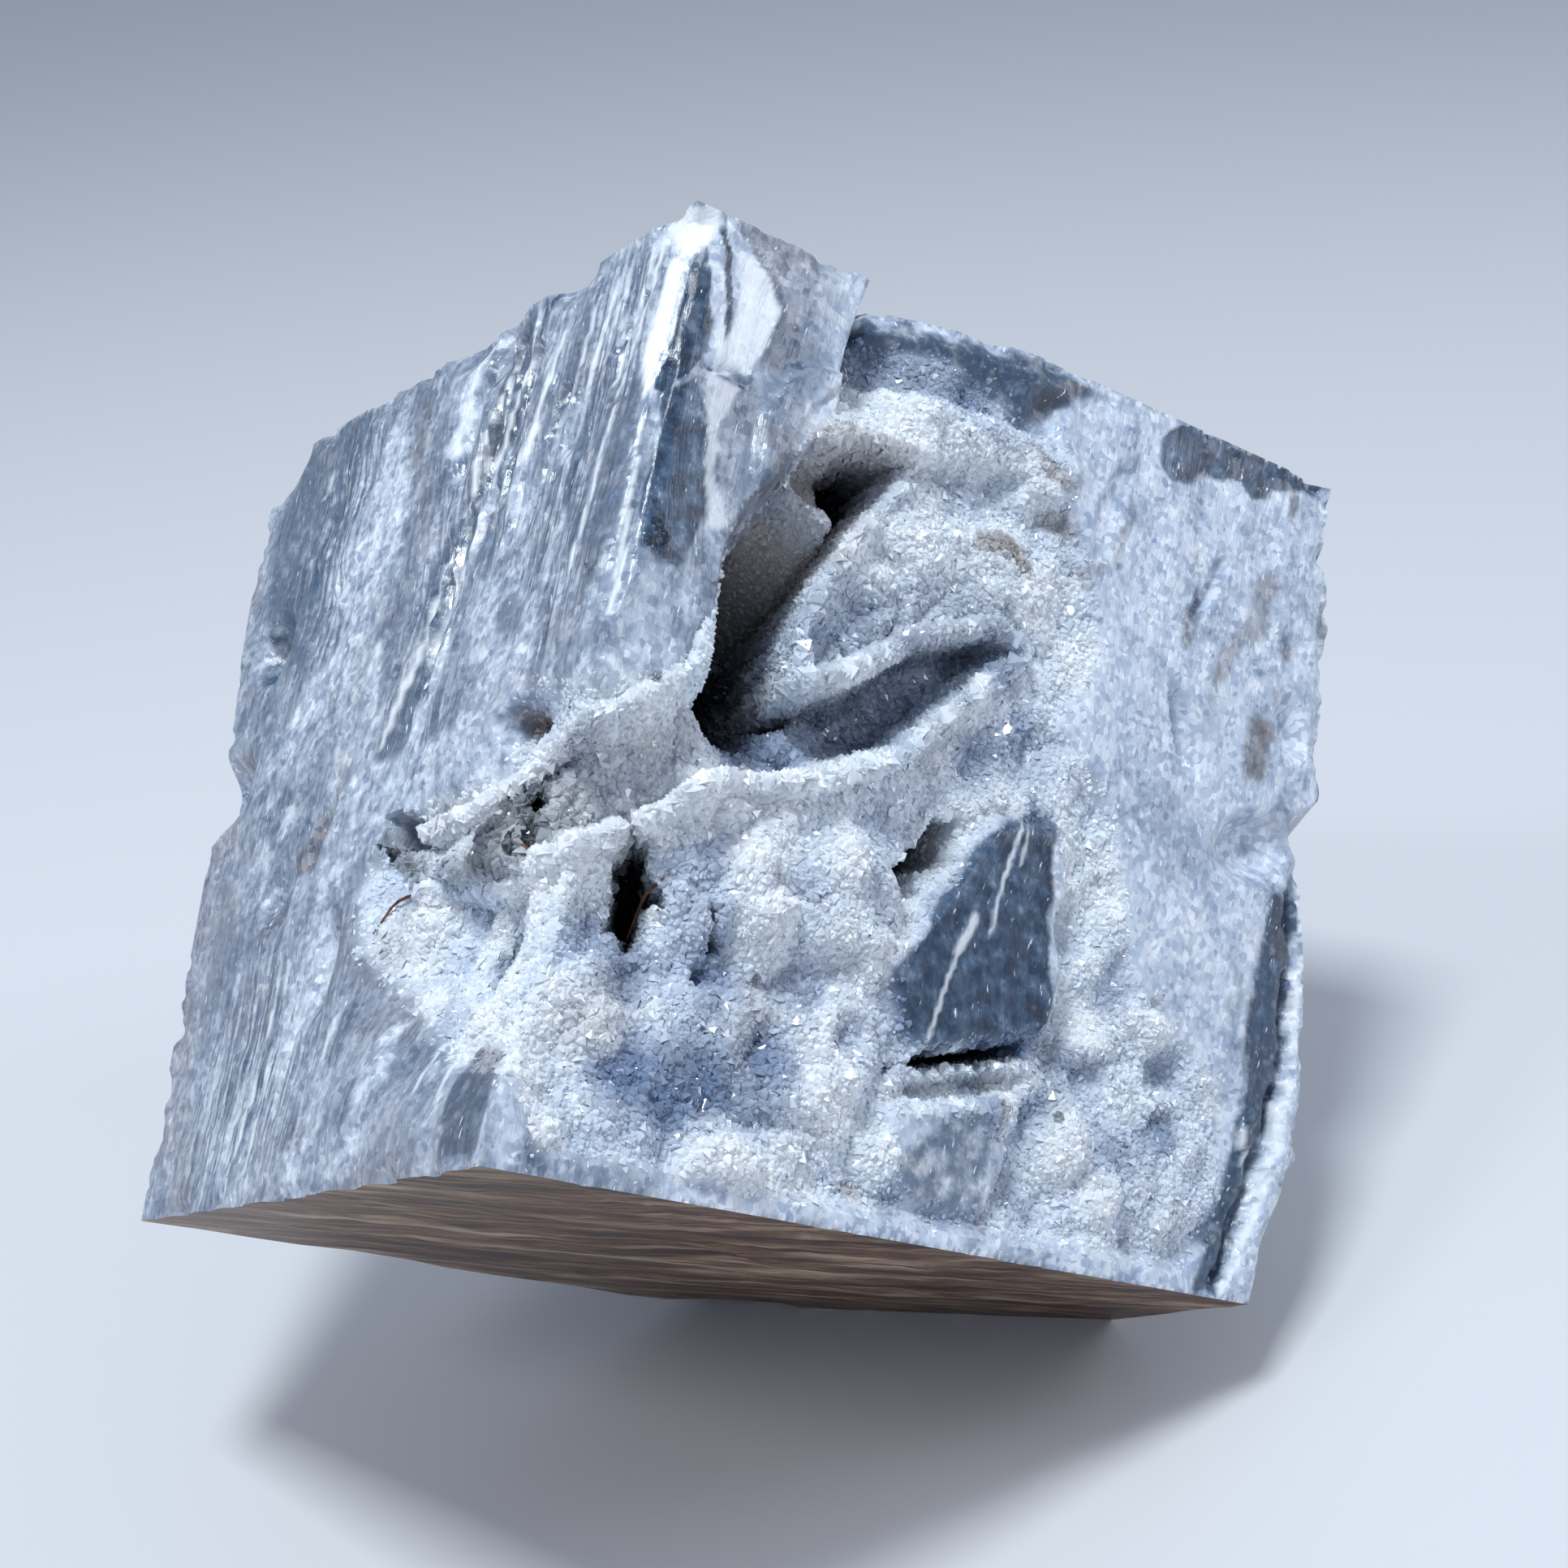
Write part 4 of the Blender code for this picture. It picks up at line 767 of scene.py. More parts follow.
# White stone, and painted highlights and reflections of the polish
MILK_AND_HIGHLIGHT_MARKS = [
    ("area", [(12.5, 59), (15, 63.5), (20.5, 62.5), (31.5, 64), (48, 65), (34, 61), (23.5, 57),
              (13, 54)], 1.2, 0.9),
    ("area", [(20, 52), (27, 57), (36, 57), (42, 54), (40, 47), (30, 45), (22, 44)], 2.0, 0.75),
    # Painted highlight along the ridge
    ("line", [(0.3, 65.5), (-0.4, 61), (0, 54.5)], 0.5, 0.9),
    ("line", [(-17, 43.5), (-12, 38.5), (-13, 34), (-18, 31), (-25.5, 29)], 3.6, 0.6),
    ("area", [(-38, 68), (-41.5, 66), (-42.5, 60), (-43.5, 54), (-42, 48), (-47, 42), (-50, 36),
              (-44, 36), (-40, 42), (-36.5, 48), (-33.5, 54), (-34, 60)], 1.6, 0.75),
    ("line", [(-15, 57), (-15.5, 51), (-15, 45)], 2.6, 0.5),
    ("line", [(-27, 70), (-28, 65), (-28.6, 60)], 1.2, 0.8),
    ("line", [(-30, 33), (-32, 24), (-33, 14)], 3.0, 0.6),
    ("line", [(-37, 48), (-35, 40), (-33, 31)], 3.5, 0.7), ("line", [(-23, 40), (-28, 32)], 2.5, 0.5),
    ("line", [(-18, 12), (-19.5, 2)], 1.6, 0.6), ("line", [(-26, 8), (-28, 1)], 2.0, 0.6),
    ("line", [(-14, 30.9), (-7, 31.0)], 1.1, 0.85), ("line", [(-41, 40), (-44, 26)], 1.8, 0.45),
    ("line", [(-47, 33), (-50, 22), (-54, 8)], 2.4, 0.35),
    # Painted highlight at the apex
    ("area", [(-6, 72.5), (-4.5, 68), (-0.4, 67.6), (1.8, 68.6), (3.4, 70.2), (3, 73)], 0.8, 0.8),
    ("line", [(-0.2, 8), (1.2, 5), (1.5, 0.6)], 1.3, 0.9),
    ("line", [(46, 13), (46.8, 9), (46.8, 2)], 0.9, 0.85),
    ("line", [(54, 44), (60, 50), (66, 54)], 3.0, 0.5),
    ("line", [(50, 60), (58, 64), (66, 62)], 3.0, 0.5),
    # Painted reflection on the prow, over paler stone
    ("area", [(1.5, 68.5), (2, 71), (5.5, 70.5), (8, 68), (9, 64.5), (7.5, 60), (4.2, 59.4), (3, 63)],
              0.3, 0.95),
    ("line", [(-24, 28), (-15, 28), (-7, 29), (0, 33), (6, 35)], 2.6, 0.7),
    ("line", [(-3.5, 22.5), (2, 24.5), (11, 27), (20, 31)], 2.2, 0.9),
    ("line", [(-5, 20), (2, 20.5)], 2.6, 0.7), ("line", [(-6, 12), (-7, 9), (6, 9.5)], 2.0, 0.6),
    ("line", [(17, 1.5), (22, 2)], 3.0, 0.95),
    ("line", [(17, 24), (20, 18.5), (27, 12), (29, 7)], 2.4, 0.8),
    ("line", [(33, 10.5), (41, 12.5)], 1.0, 0.8),
]
# Bright seams of polished white quartz, painted glints and reflections, drawn over everything else
SEAM_AND_GLINT_MARKS = [
    # Painted highlights along the rounded ridge, and painted glints on the ribs of the left face
    ("area", [(-0.5, 67.6), (-1.9, 68), (-2.4, 63.5), (-2.6, 59.5), (-1.5, 55.2), (-0.9, 58),
              (-0.6, 62)], 0.15, 1.0),
    ("line", [(-1.2, 54), (-0.9, 50), (-0.5, 46.5)], 0.14, 1.0),
    ("line", [(-0.5, 46.5), (-0.2, 42), (0.1, 38.4)], 0.3, 1.0),
    ("line", [(-3.0, 70.5), (-3.9, 65), (-4.6, 60), (-5.2, 57)], 0.2, 0.9),
    ("line", [(-4.2, 70), (-5.1, 64), (-5.9, 58.5)], 0.16, 0.9),
    ("line", [(-5.2, 56), (-5.6, 50), (-6.4, 44)], 0.18, 0.9),
    ("line", [(-8.6, 68.5), (-9.4, 63), (-10.1, 57.5)], 0.3, 0.9),
    ("line", [(-7.2, 69), (-8, 63)], 0.16, 0.8), ("line", [(-10.8, 68), (-11.5, 62)], 0.16, 0.8),
    ("line", [(-15.0, 66.5), (-15.9, 61), (-16.8, 56.5)], 0.3, 0.95),
    ("line", [(-27.2, 70), (-28.0, 64.5), (-28.6, 60.5)], 0.55, 0.8),
    ("line", [(-24.3, 60), (-25, 54)], 0.18, 0.85),
    ("line", [(-19.6, 66), (-20.8, 60), (-21.6, 57)], 0.2, 0.8),
    ("line", [(-22.6, 66), (-24.2, 60)], 0.16, 0.8),
    ("line", [(-23.6, 51), (-24.4, 46), (-25, 42)], 0.25, 0.85),
    ("line", [(-25.6, 50), (-26.6, 43), (-29, 35)], 0.35, 0.85),
    ("line", [(-21.8, 51), (-22.7, 46)], 0.2, 0.8), ("line", [(-46, 60.5), (-47.4, 57)], 0.18, 0.8),
    ("line", [(-49.8, 65.5), (-50.2, 63)], 0.25, 0.7),
    ("line", [(-33.5, 44.5), (-34.3, 42)], 0.2, 0.8),
    ("line", [(-37.4, 15), (-37.5, 9.5), (-39, 1)], 0.16, 0.9),
    ("line", [(-35.8, 12), (-36.6, 2)], 0.14, 0.8), ("line", [(-26.2, 13), (-26.6, 10)], 0.3, 0.8),
    ("line", [(-9, 10), (-8.2, 5)], 0.25, 0.8), ("line", [(-11.6, 10), (-12, 6.5)], 0.2, 0.8),
    ("line", [(-55.5, 7), (-56.2, 1)], 0.5, 0.7),
    # Painted reflection on the polished prow: white above, pale blue below
    ("area", [(1.6, 67.6), (3.1, 67.2), (4.0, 64.4), (3.9, 61.6), (4.6, 60.0), (7.2, 59.6), (8.6, 63),
              (8.9, 65.8), (7.4, 68.2), (4.9, 68.8), (5.2, 66.8), (5.4, 63.6), (4.9, 61.8), (4.2, 63.4),
              (3.4, 66)], 0.15, 0.75),
    ("area", [(3.4, 58.7), (7.0, 58.5), (6.3, 56), (5.8, 54.6), (6.4, 50.6), (8.6, 47.6), (6.8, 47.2),
              (5.4, 50.4), (5.0, 54.8)], 0.15, 0.55),
    ("line", [(38.4, 25), (37.3, 22)], 0.42, 0.8),
    ("line", [(37.3, 22), (36.4, 18.5), (36, 15.5)], 0.2, 0.7),
    ("line", [(41.5, 34), (41.2, 31), (40.4, 27.5), (40.2, 24.5)], 0.16, 0.8),
    ("line", [(42.3, 34.5), (42, 30)], 0.14, 0.6),
    # Painted highlight at the apex
    ("area", [(-3.5, 73), (-2.8, 69.5), (-0.6, 68.2), (1.6, 68.8), (2.6, 70.4), (1.5, 73)], 0.5, 0.8),
    ("line", [(66, 8.4), (69, 8), (71.5, 7.2)], 0.15, 0.7),
    ("line", [(73.2, 14), (74.6, 11.4)], 0.3, 0.8),
]
# The right face is milkier than the left one: from how far across on, and how strongly
RIGHT_MILK = (13.0, 24.0, 0.3)
LEFT_MILK = 0.16
MARK_WARP = 0.55
MARK_WARP_SIZE = 3.2


def marked(across, up, table):
    """The strongest of a table's marks at each place."""
    strongest = np.zeros(np.shape(across))
    for kind, places, width, amount in table:
        strongest = np.maximum(strongest, amount * mark_share(across, up, kind, places, width))
    return strongest


def stone_maps(points, across, up):
    """Strengths of slate, brown and white at places on the front, with painted highlights in the white and painted
    glints among the seams, with the outlines disturbed by noise.
    """
    aside = across + MARK_WARP * rough_noise(points, MARK_WARP_SIZE, 41)
    above = up + 2.0 * MARK_WARP * rough_noise(points, MARK_WARP_SIZE, 44)
    slate = marked(aside, above, SLATE_MARKS)
    brown = marked(aside, above, BROWN_MARKS)
    milk_and_highlight = marked(aside, above, MILK_AND_HIGHLIGHT_MARKS)
    ground = LEFT_MILK + RIGHT_MILK[2] * smooth(across, *RIGHT_MILK[:2])
    milk_and_highlight = np.maximum(milk_and_highlight, ground * (1.0 - np.maximum(slate, brown)))
    ribbed = np.zeros_like(across)
    for x, y, half_width, half_height, turn, _ in RIBBED:
        ribbed = np.maximum(ribbed, bump(across, up, x, y, half_width, half_height, turn))
    off_shell = shell_distance(points, across, up)
    slate = slate * smooth(off_shell, -0.1, 0.2)
    milk_and_highlight = np.maximum(milk_and_highlight, 0.55 * smooth(-off_shell, -0.1, 0.3))
    cloudy = smooth(across, 11.0, 17.0)
    # White seams, with painted glints and reflections of the polish
    fine_aside = across + 0.16 * rough_noise(points, 1.3, 47)
    seam_and_glint = marked(fine_aside, up + 0.6 * soft_noise(points, 2.0, 48), SEAM_AND_GLINT_MARKS)
    seam_and_glint = np.maximum(seam_and_glint, 0.8 * smooth(0.3 - np.abs(off_shell + 0.3), 0.0, 0.15))
    return {"slate": slate, "brown": brown, "milk_and_highlight": milk_and_highlight, "ribbed": ribbed, "seam_and_glint": seam_and_glint, "cloudy": cloudy}


# Depths over which the pocket gets painted shade, and the pool under the flap, which stays blue-grey
SHADE_DEPTH = (5.5, 10.5)
POOL = (27.0, 42.0, 13.0, 7.0, 35.0)
# The wall of the recess, which gets less painted shade, and painted light in its colour
RECESS_LIT = (14.8, 53.6, 8.0, 10.2, 18.0)


def painted_shade(across, up, depth):
    """Painted shade of the hollows: by depth and in holes, less in the open pool and on the recess wall."""
    lit = np.maximum(0.95 * bump(across, up, *POOL), bump(across, up, *RECESS_LIT))
    return np.maximum(smooth(depth, *SHADE_DEPTH) * (1.0 - lit), hole_share(base, across, up))


front_maps = stone_maps(base, seen, up)
print("slate covers", (front_maps["slate"] > 0.5).mean().round(3), "of the front's grid")

# %% [markdown]
# ## One closed mesh for the block
#
# The real block is one piece of stone, so it is one mesh here too, even though its faces were worked out one by
# one. The grids are numbered in one long list of points, and the points that lie on each other along the edges
# are merged at the end. The maps of colour ride along as attributes of the points. So does `strata`, a place's
# distance along the bands, beside them and across them, in mm, because a band is a layer through the whole stone
# and should meet itself on the next face.

# %% Layers of the stone, and a mesh from arrays
LAYER_NORMAL = unit(np.array([-0.129, 0.688, -0.701]))
SIDE_WAY = np.cross(LAYER_NORMAL, RIDGE_WAY)
WELD = 0.002
SHARP_ANGLE = math.radians(38.0)


# The geode's brown rind lies along the low front side: how far in it fades, and the strength of other patches
RIND_FADE = (5.0, 20.0)
RIND_PATCHES = 0.55


def rind(points):
    """1 in the brown rind along the low front side, and less in patches of the rest, with ragged limits."""
    inwards = unit(np.cross(RIGHT_LOW - RIDGE_FOOT, LEFT_LOW - RIDGE_FOOT))
    inwards = inwards * np.sign((MIDDLE - RIDGE_FOOT) @ inwards)
    deep = (points - RIDGE_FOOT) @ inwards + 5.0 * rough_noise(points, 14.0, 55)
    patches = RIND_PATCHES * smooth(rough_noise(points, 24.0, 57), 0.1, 0.7)
    return np.maximum(1.0 - smooth(deep, *RIND_FADE), patches)


def strata(points):
    """Place of each point along the bands, beside them and across them, bent by large soft noise."""
    straight = np.stack([points @ RIDGE_WAY, points @ SIDE_WAY, points @ LAYER_NORMAL], axis=-1)
    straight[..., 2] += 1.6 * soft_noise(points, 21.0, 51) + 0.7 * soft_noise(points, 8.0, 52)
    return straight


def make_mesh(name, points, corners, sizes):
    """A mesh from points in mm, a flat list of face corners, and how many corners each face has."""
    mesh = bpy.data.meshes.new(name)
    mesh.vertices.add(len(points))
    mesh.vertices.foreach_set("co", (points * MM).astype(np.float32).ravel())
    mesh.loops.add(len(corners))
    mesh.loops.foreach_set("vertex_index", np.asarray(corners, np.int32))
    mesh.polygons.add(len(sizes))
    mesh.polygons.foreach_set("loop_start", (np.cumsum(sizes) - sizes).astype(np.int32))
    mesh.update(calc_edges=True)
    return mesh


def grid_corners(rows, columns, start):
    """Corner numbers of a grid's four-cornered faces, with its points numbered from start."""
    number = start + np.arange(rows * columns).reshape(rows, columns)
    around = [number[:-1, :-1], number[1:, :-1], number[1:, 1:], number[:-1, 1:]]
    return np.stack(around, axis=-1).reshape(-1, 4)


def add_map(mesh, name, values):
    """Keeps numbers or vectors on a mesh's points."""
    if values.ndim == 1:
        mesh.attributes.new(name, "FLOAT", "POINT").data.foreach_set("value", values.astype(np.float32))
    else:
        mesh.attributes.new(name, "FLOAT_VECTOR", "POINT").data.foreach_set(
            "vector", values.astype(np.float32).ravel())


def add_object(mesh):
    """An object of a mesh's own name, in the scene."""
    made = bpy.data.objects.new(mesh.name, mesh)
    bpy.context.scene.collection.objects.link(made)
    return made


def closed(mesh):
    """Merges a mesh's doubled points and turns its faces outwards."""
    work = bmesh.new()
    work.from_mesh(mesh)
    bmesh.ops.remove_doubles(work, verts=work.verts, dist=WELD * MM)
    bmesh.ops.recalc_face_normals(work, faces=work.faces)
    open_edges = sum(not edge.is_manifold for edge in work.edges)
    work.to_mesh(mesh)
    work.free()
    print(mesh.name, len(mesh.polygons), "faces,", open_edges, "open edges")


# %% The block
grids = [sheet, roof, front, left, right]
starts = np.cumsum([0] + [grid.shape[0] * grid.shape[1] for grid in grids])
quads = [grid_corners(*grid.shape[:2], start) for grid, start in zip(grids, starts)]
ring_start = starts[-1]
turn = np.arange(len(outline))
before = np.roll(turn, 1)
band = np.stack([before, turn, turn + len(outline), before + len(outline)], axis=-1) + ring_start
all_quads = np.concatenate(quads + [band])
cap = turn + len(outline) + ring_start
block_mesh = make_mesh(
    "chalcedony_block",
    np.concatenate([grid.reshape(-1, 3) for grid in grids] + [outline, inner]),
    np.concatenate([all_quads.ravel(), cap]),
    np.array([4] * len(all_quads) + [len(cap)]),
)
block_mesh.polygons.foreach_set("material_index", np.r_[np.zeros(len(quads[0]), int), np.ones(
    len(all_quads) + 1 - len(quads[0]), int)].astype(np.int32))
places = np.concatenate([grid.reshape(-1, 3) for grid in grids] + [outline, inner])
rest = np.zeros(len(places) - base[..., 0].size)
for name, values in front_maps.items():
    add_map(block_mesh, name, np.concatenate([values.ravel(), rest]))
add_map(block_mesh, "druse", np.concatenate([druse_share(seen, up).ravel(), rest]))
# Painted shade of the pocket's depths and holes, for the material to mix
add_map(block_mesh, "hollow", np.concatenate([painted_shade(seen, up, depth).ravel(), rest]))
add_map(block_mesh, "strata", strata(places))
add_map(block_mesh, "rind", rind(places))
block = add_object(block_mesh)
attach(block, "root")
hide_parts("stone")

# %% [markdown]
# ## The druse
#
# Druse is a carpet of quartz crystals, grown so close that only their six-sided tips stand out. Here they are
# half a millimetre wide. A particle system would scatter them too, but particles are lost when the model is
# exported. So each tip is seven points of one template, set square to the sheet with a random lean, and all of
# them are worked out as one array. Their sizes and colours differ, because sameness gives repeated shapes away.

# %% Quartz points
# Half sunk in the crust, each shows only its tip: a pyramid of six faces. Pieces stay under 200,000 triangles
TIPS_IN_A_PIECE = 18400
PIECES = 4
# How far the tips stand out of the sheet, and how far their bases lie under it
TIP_OUT = (0.07, 0.40)
TIP_SUNK = 0.24
POINT_LEAN = 0.75
# A quartz tip's faces stand 38 degrees off its axis, so it is 1.27 times as high as its hexagon's inner radius
TIP_HEIGHT = 1.27 * math.cos(math.pi / 6.0)
TIP_SHIFT = 0.22
POINT_SEED = 61
# The points get larger and smaller from place to place: by how much, over how many mm
SIZE_SWING = 0.3
SIZE_SPACING = 9.0


def linear(code):
    """Linear red, green and blue of an sRGB hex colour."""
    values = np.array([int(code[k:k + 2], 16) for k in (1, 3, 5)]) / 255.0
    return np.where(values <= 0.04045, values / 12.92, ((values + 0.055) / 1.055) ** 2.4)


def scattered_places(count, share, seed):
    """Random places on the sheet: cells are drawn by their area times their share of druse, and each place lies
    anywhere inside its cell. Gives the cell's two numbers and the two parts within it."""
    diagonal = sheet[1:, 1:] - sheet[:-1, :-1]
    other = sheet[:-1, 1:] - sheet[1:, :-1]
    area = np.linalg.norm(np.cross(diagonal, other), axis=-1) / 2.0
    weight = area * (share[1:, 1:] + share[:-1, :-1]) / 2.0
    draw = np.random.default_rng(seed)
    total = np.cumsum(weight.ravel())
    cells = np.searchsorted(total, (np.arange(count) + draw.uniform(0.0, 1.0, count)) * total[-1] / count)
    part = draw.uniform(0.0, 1.0, (2, count))
    print(count, "places on", round(weight.sum()), "square mm of druse")
    return (*np.unravel_index(np.minimum(cells, weight.size - 1), weight.shape), *part)


def sampled(values, place):
    """Values of the sheet's grid at scattered places, blended between the four corners of each cell."""
    i, j, x, y = place
    if values.ndim == 3:
        x, y = x[:, None], y[:, None]
    low = values[i, j] * (1.0 - x) + values[i + 1, j] * x
    return low * (1.0 - y) + (values[i, j + 1] * (1.0 - x) + values[i + 1, j + 1] * x) * y


def across_axis(axis, draw):
    """Two directions square to each axis and to each other, turned at random about it."""
    first = unit(np.cross(axis, draw.normal(size=axis.shape)))
    return first, np.cross(axis, first)


def quartz_tips(places, axis, height, draw):
    """Seven points of each tip: a hexagon, cos and sin of 60 degree steps times the radius, under the sheet, and
    the tip above it, a little to one side. The radius is the whole height over the height of a quartz tip."""
    first, second = across_axis(axis, draw)
    angle = np.arange(6) * math.pi / 3.0
    circle = first[:, None] * np.cos(angle)[None, :, None] + second[:, None] * np.sin(angle)[None, :, None]
    radius = (height + TIP_SUNK) / TIP_HEIGHT
    ring = (places - axis * TIP_SUNK)[:, None] + circle * radius[:, None, None]
    aside = draw.uniform(-TIP_SHIFT, TIP_SHIFT, (2, len(places), 1)) * height[:, None]
    tip = places + axis * height[:, None] + first * aside[0] + second * aside[1]
    return np.concatenate([ring, tip[:, None]], axis=1)


def tip_corners(count):
    """Corner numbers and sizes of the faces of many tips: a closed base and six faces."""
    k = np.arange(6)
    one = np.concatenate([k[::-1], np.stack([k, (k + 1) % 6, k * 0 + 6], axis=-1).ravel()])
    return (np.arange(count)[:, None] * 7 + one).ravel(), np.tile([6] + [3] * 6, count)


# %% Colours of the druse
DRUSE_WHITE = linear("#F8FCFF")
DRUSE_PALE = linear("#DFE9F6")
DRUSE_BLUE = linear("#8A9CBA")
DRUSE_SLATE = linear("#5F7493")
# Painted shade: near-black for the pocket's depths and holes
DEEP_SHADE_COLOUR = linear("#11161D")
DRUSE_TAN = linear("#94877F")
# Painted light: the recess wall's brown-grey, made paler as if the wall were lit
LIT_RECESS_WALL = linear("#CDC1BA")
TINT_SPREAD = 0.10
# Painted shade: the flap is greyer along its low side, where it curves down
FLAP_SHADE = [(19.5, 43.6), (24.0, 45.0), (29.0, 47.5), (35.0, 49.2)]
# Painted shade: how much blue-grey goes into the creases between knobs
CREASE_SHADE = 0.45


def blended(colour, other, share):
    """One colour turning into another by a share from 0 to 1."""
    return colour * (1.0 - share[..., None]) + other * share[..., None]


def druse_tint(points, across, up, depth, maps):
    """Colour of the druse: white lumps, pale and blue-grey places by noise, brown smears, painted light on knob
    tops and the recess wall, and painted shade in the creases, along the flap's low side and in the depths.
    """
    patches = rough_noise(points, 7.0, 71)
    knob = knobs(points, KNOBS[0][0], KNOBS[0][2])
    # Painted light and shade on the knobs: tops whiter, creases between them blue-grey
    colour = blended(DRUSE_PALE, DRUSE_WHITE, np.maximum(smooth(patches, 0.0, 0.9), 0.7 * smooth(knob, 0.7, 1.0)))
    colour = blended(colour, DRUSE_BLUE, 0.7 * smooth(-patches, 0.05, 0.95))
    colour = blended(colour, DRUSE_BLUE, CREASE_SHADE * (1.0 - smooth(knob, 0.35, 0.85)))
    tan = smooth(rough_noise(points, 6.0, 76), 0.35, 1.1)
    colour = blended(colour, DRUSE_TAN, 0.3 * tan)
    colour = blended(colour, DRUSE_BLUE, 0.95 * round_spots(across, up, DIPS_OF_DRUSE))
    colour = blended(colour, DRUSE_SLATE, 0.9 * maps["slate"])
    colour = blended(colour, DRUSE_WHITE, 0.95 * maps["milk_and_highlight"] * (1.0 - maps["slate"]))
    colour = blended(colour, DRUSE_WHITE, round_spots(across, up, LUMPS_OF_DRUSE))
    colour = blended(colour, DRUSE_SLATE, 0.4 * mark_share(across, up, "line", FLAP_SHADE, 2.6))
    colour = blended(colour, DRUSE_TAN, maps["brown"])
    # Painted light on the wall of the recess, which stands in shade
    colour = blended(colour, LIT_RECESS_WALL, 0.9 * bump(across, up, *RECESS_LIT) * smooth(depth, 3.0, 6.0))
    # Painted shade in the depths and holes
    return blended(colour, DEEP_SHADE_COLOUR, painted_shade(across, up, depth))


# %% Growing the druse
# The recess behind the prow is nearly bare, and the rims of the pocket carry more points than the rest
RECESS = (17.0, 54.5, 6.5, 6.0, 20.0)
RECESS_BARE = 0.5
RIM_EXTRA = 0.8
RIM_NEAR = (0.3, 1.4)
normals = sheet_normals(sheet)
tint = druse_tint(base, seen, up, depth, front_maps)
at_rim = 1.0 - smooth(np.abs(outline_distance(seen, up, POCKET)), *RIM_NEAR)
grown = druse_share(seen, up) * (1.0 - RECESS_BARE * bump(seen, up, *RECESS)) * (1.0 + RIM_EXTRA * at_rim)
grown = grown * (1.0 - 0.6 * smooth(depth, 8.0, 14.0)) * (1.0 - 0.97 * hole_share(base, seen, up))
# The block takes the druse's colour too, painted light and shade included, so that no other shows between
# the crystals, and is then closed
add_map(block_mesh, "tint", np.concatenate([tint.reshape(-1, 3), np.zeros((len(rest), 3))]))
closed(block_mesh)
block_mesh.polygons.foreach_set("use_smooth", np.ones(len(block_mesh.polygons), bool))
block_mesh.set_sharp_from_angle(angle=SHARP_ANGLE)
count = TIPS_IN_A_PIECE * PIECES
place = scattered_places(count, grown, POINT_SEED)
draw = np.random.default_rng(POINT_SEED + 1)
axes = unit(unit(sampled(normals, place)) + POINT_LEAN * draw.normal(size=(count, 3)) / 1.7)
swing = 1.0 + SIZE_SWING * soft_noise(sampled(sheet, place), SIZE_SPACING, 63)
heights = swing * (TIP_OUT[0] + (TIP_OUT[1] - TIP_OUT[0]) * draw.uniform(0.0, 1.0, count) ** 1.6)
heights = heights * (0.5 + 0.5 * np.minimum(sampled(grown, place), 1.0)) * (1.0 + 0.9 * sampled(at_rim, place))
crystals = quartz_tips(sampled(sheet, place), axes, heights, draw)
tints = sampled(tint, place) * (1.0 + TINT_SPREAD * draw.normal(size=(count, 1)))
corners, sizes = tip_corners(TIPS_IN_A_PIECE)
order = draw.permutation(count)


def crystal_piece(name, points, colours, corners, sizes):
    """One mesh of many crystals with flat faces, its points keeping each one's colour with painted light and shade."""
    mesh = make_mesh(name, points.reshape(-1, 3), corners, sizes)
    mesh.shade_flat()
    shade = np.concatenate([np.clip(colours, 0.0, 1.0), np.ones((len(colours), 1))], axis=1)
    shade = np.repeat(shade, points.shape[1], axis=0).astype(np.float32)
    mesh.attributes.new("tint", "FLOAT_COLOR", "POINT").data.foreach_set("color", shade.ravel())
    made = add_object(mesh)
    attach(made, "root")
    print(name, len(points), "crystals,", len(mesh.polygons), "faces")
    return made


druse_pieces = []
for k in range(PIECES):
    chosen = order[k * TIPS_IN_A_PIECE:(k + 1) * TIPS_IN_A_PIECE]
    druse_pieces.append(crystal_piece(f"quartz_druse_{k + 1}", crystals[chosen], tints[chosen], corners, sizes))
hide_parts("druse_crust")

# %% [markdown]
# ## Rusty needles and clear points
#
# A few hair-thin needles of iron mineral hang in the holes, and some larger quartz points at the pocket's rim are
# clear as glass. Curves with a bevel would do for the needles. Here each is a six-sided tube along a bent line,
# as an array like everything else. The clear points are six-sided prisms with six-sided tips.

# %% Needles and clear quartz points
# Needles: places on the chart and their lift over the sheet in mm
NEEDLES = [
    [(-21.8, 26.4, -0.8), (-21.6, 24.2, 0.7), (-23.4, 21.8, 0.8), (-25.4, 19.6, 0.3)],
    [(-2.3, 25.4, -0.8), (-1.9, 23.6, 0.6), (-1.3, 21.6, 0.3)],
    [(9.8, 22.6, 0.3), (9.0, 20.6, 1.0), (6.6, 18.4, 0.5)],
    [(7.0, 24.0, -0.8), (8.2, 21.6, 0.2), (9.6, 20.2, 0.5)],
]
NEEDLE_RADIUS = 0.13
NEEDLE_STEPS = 14
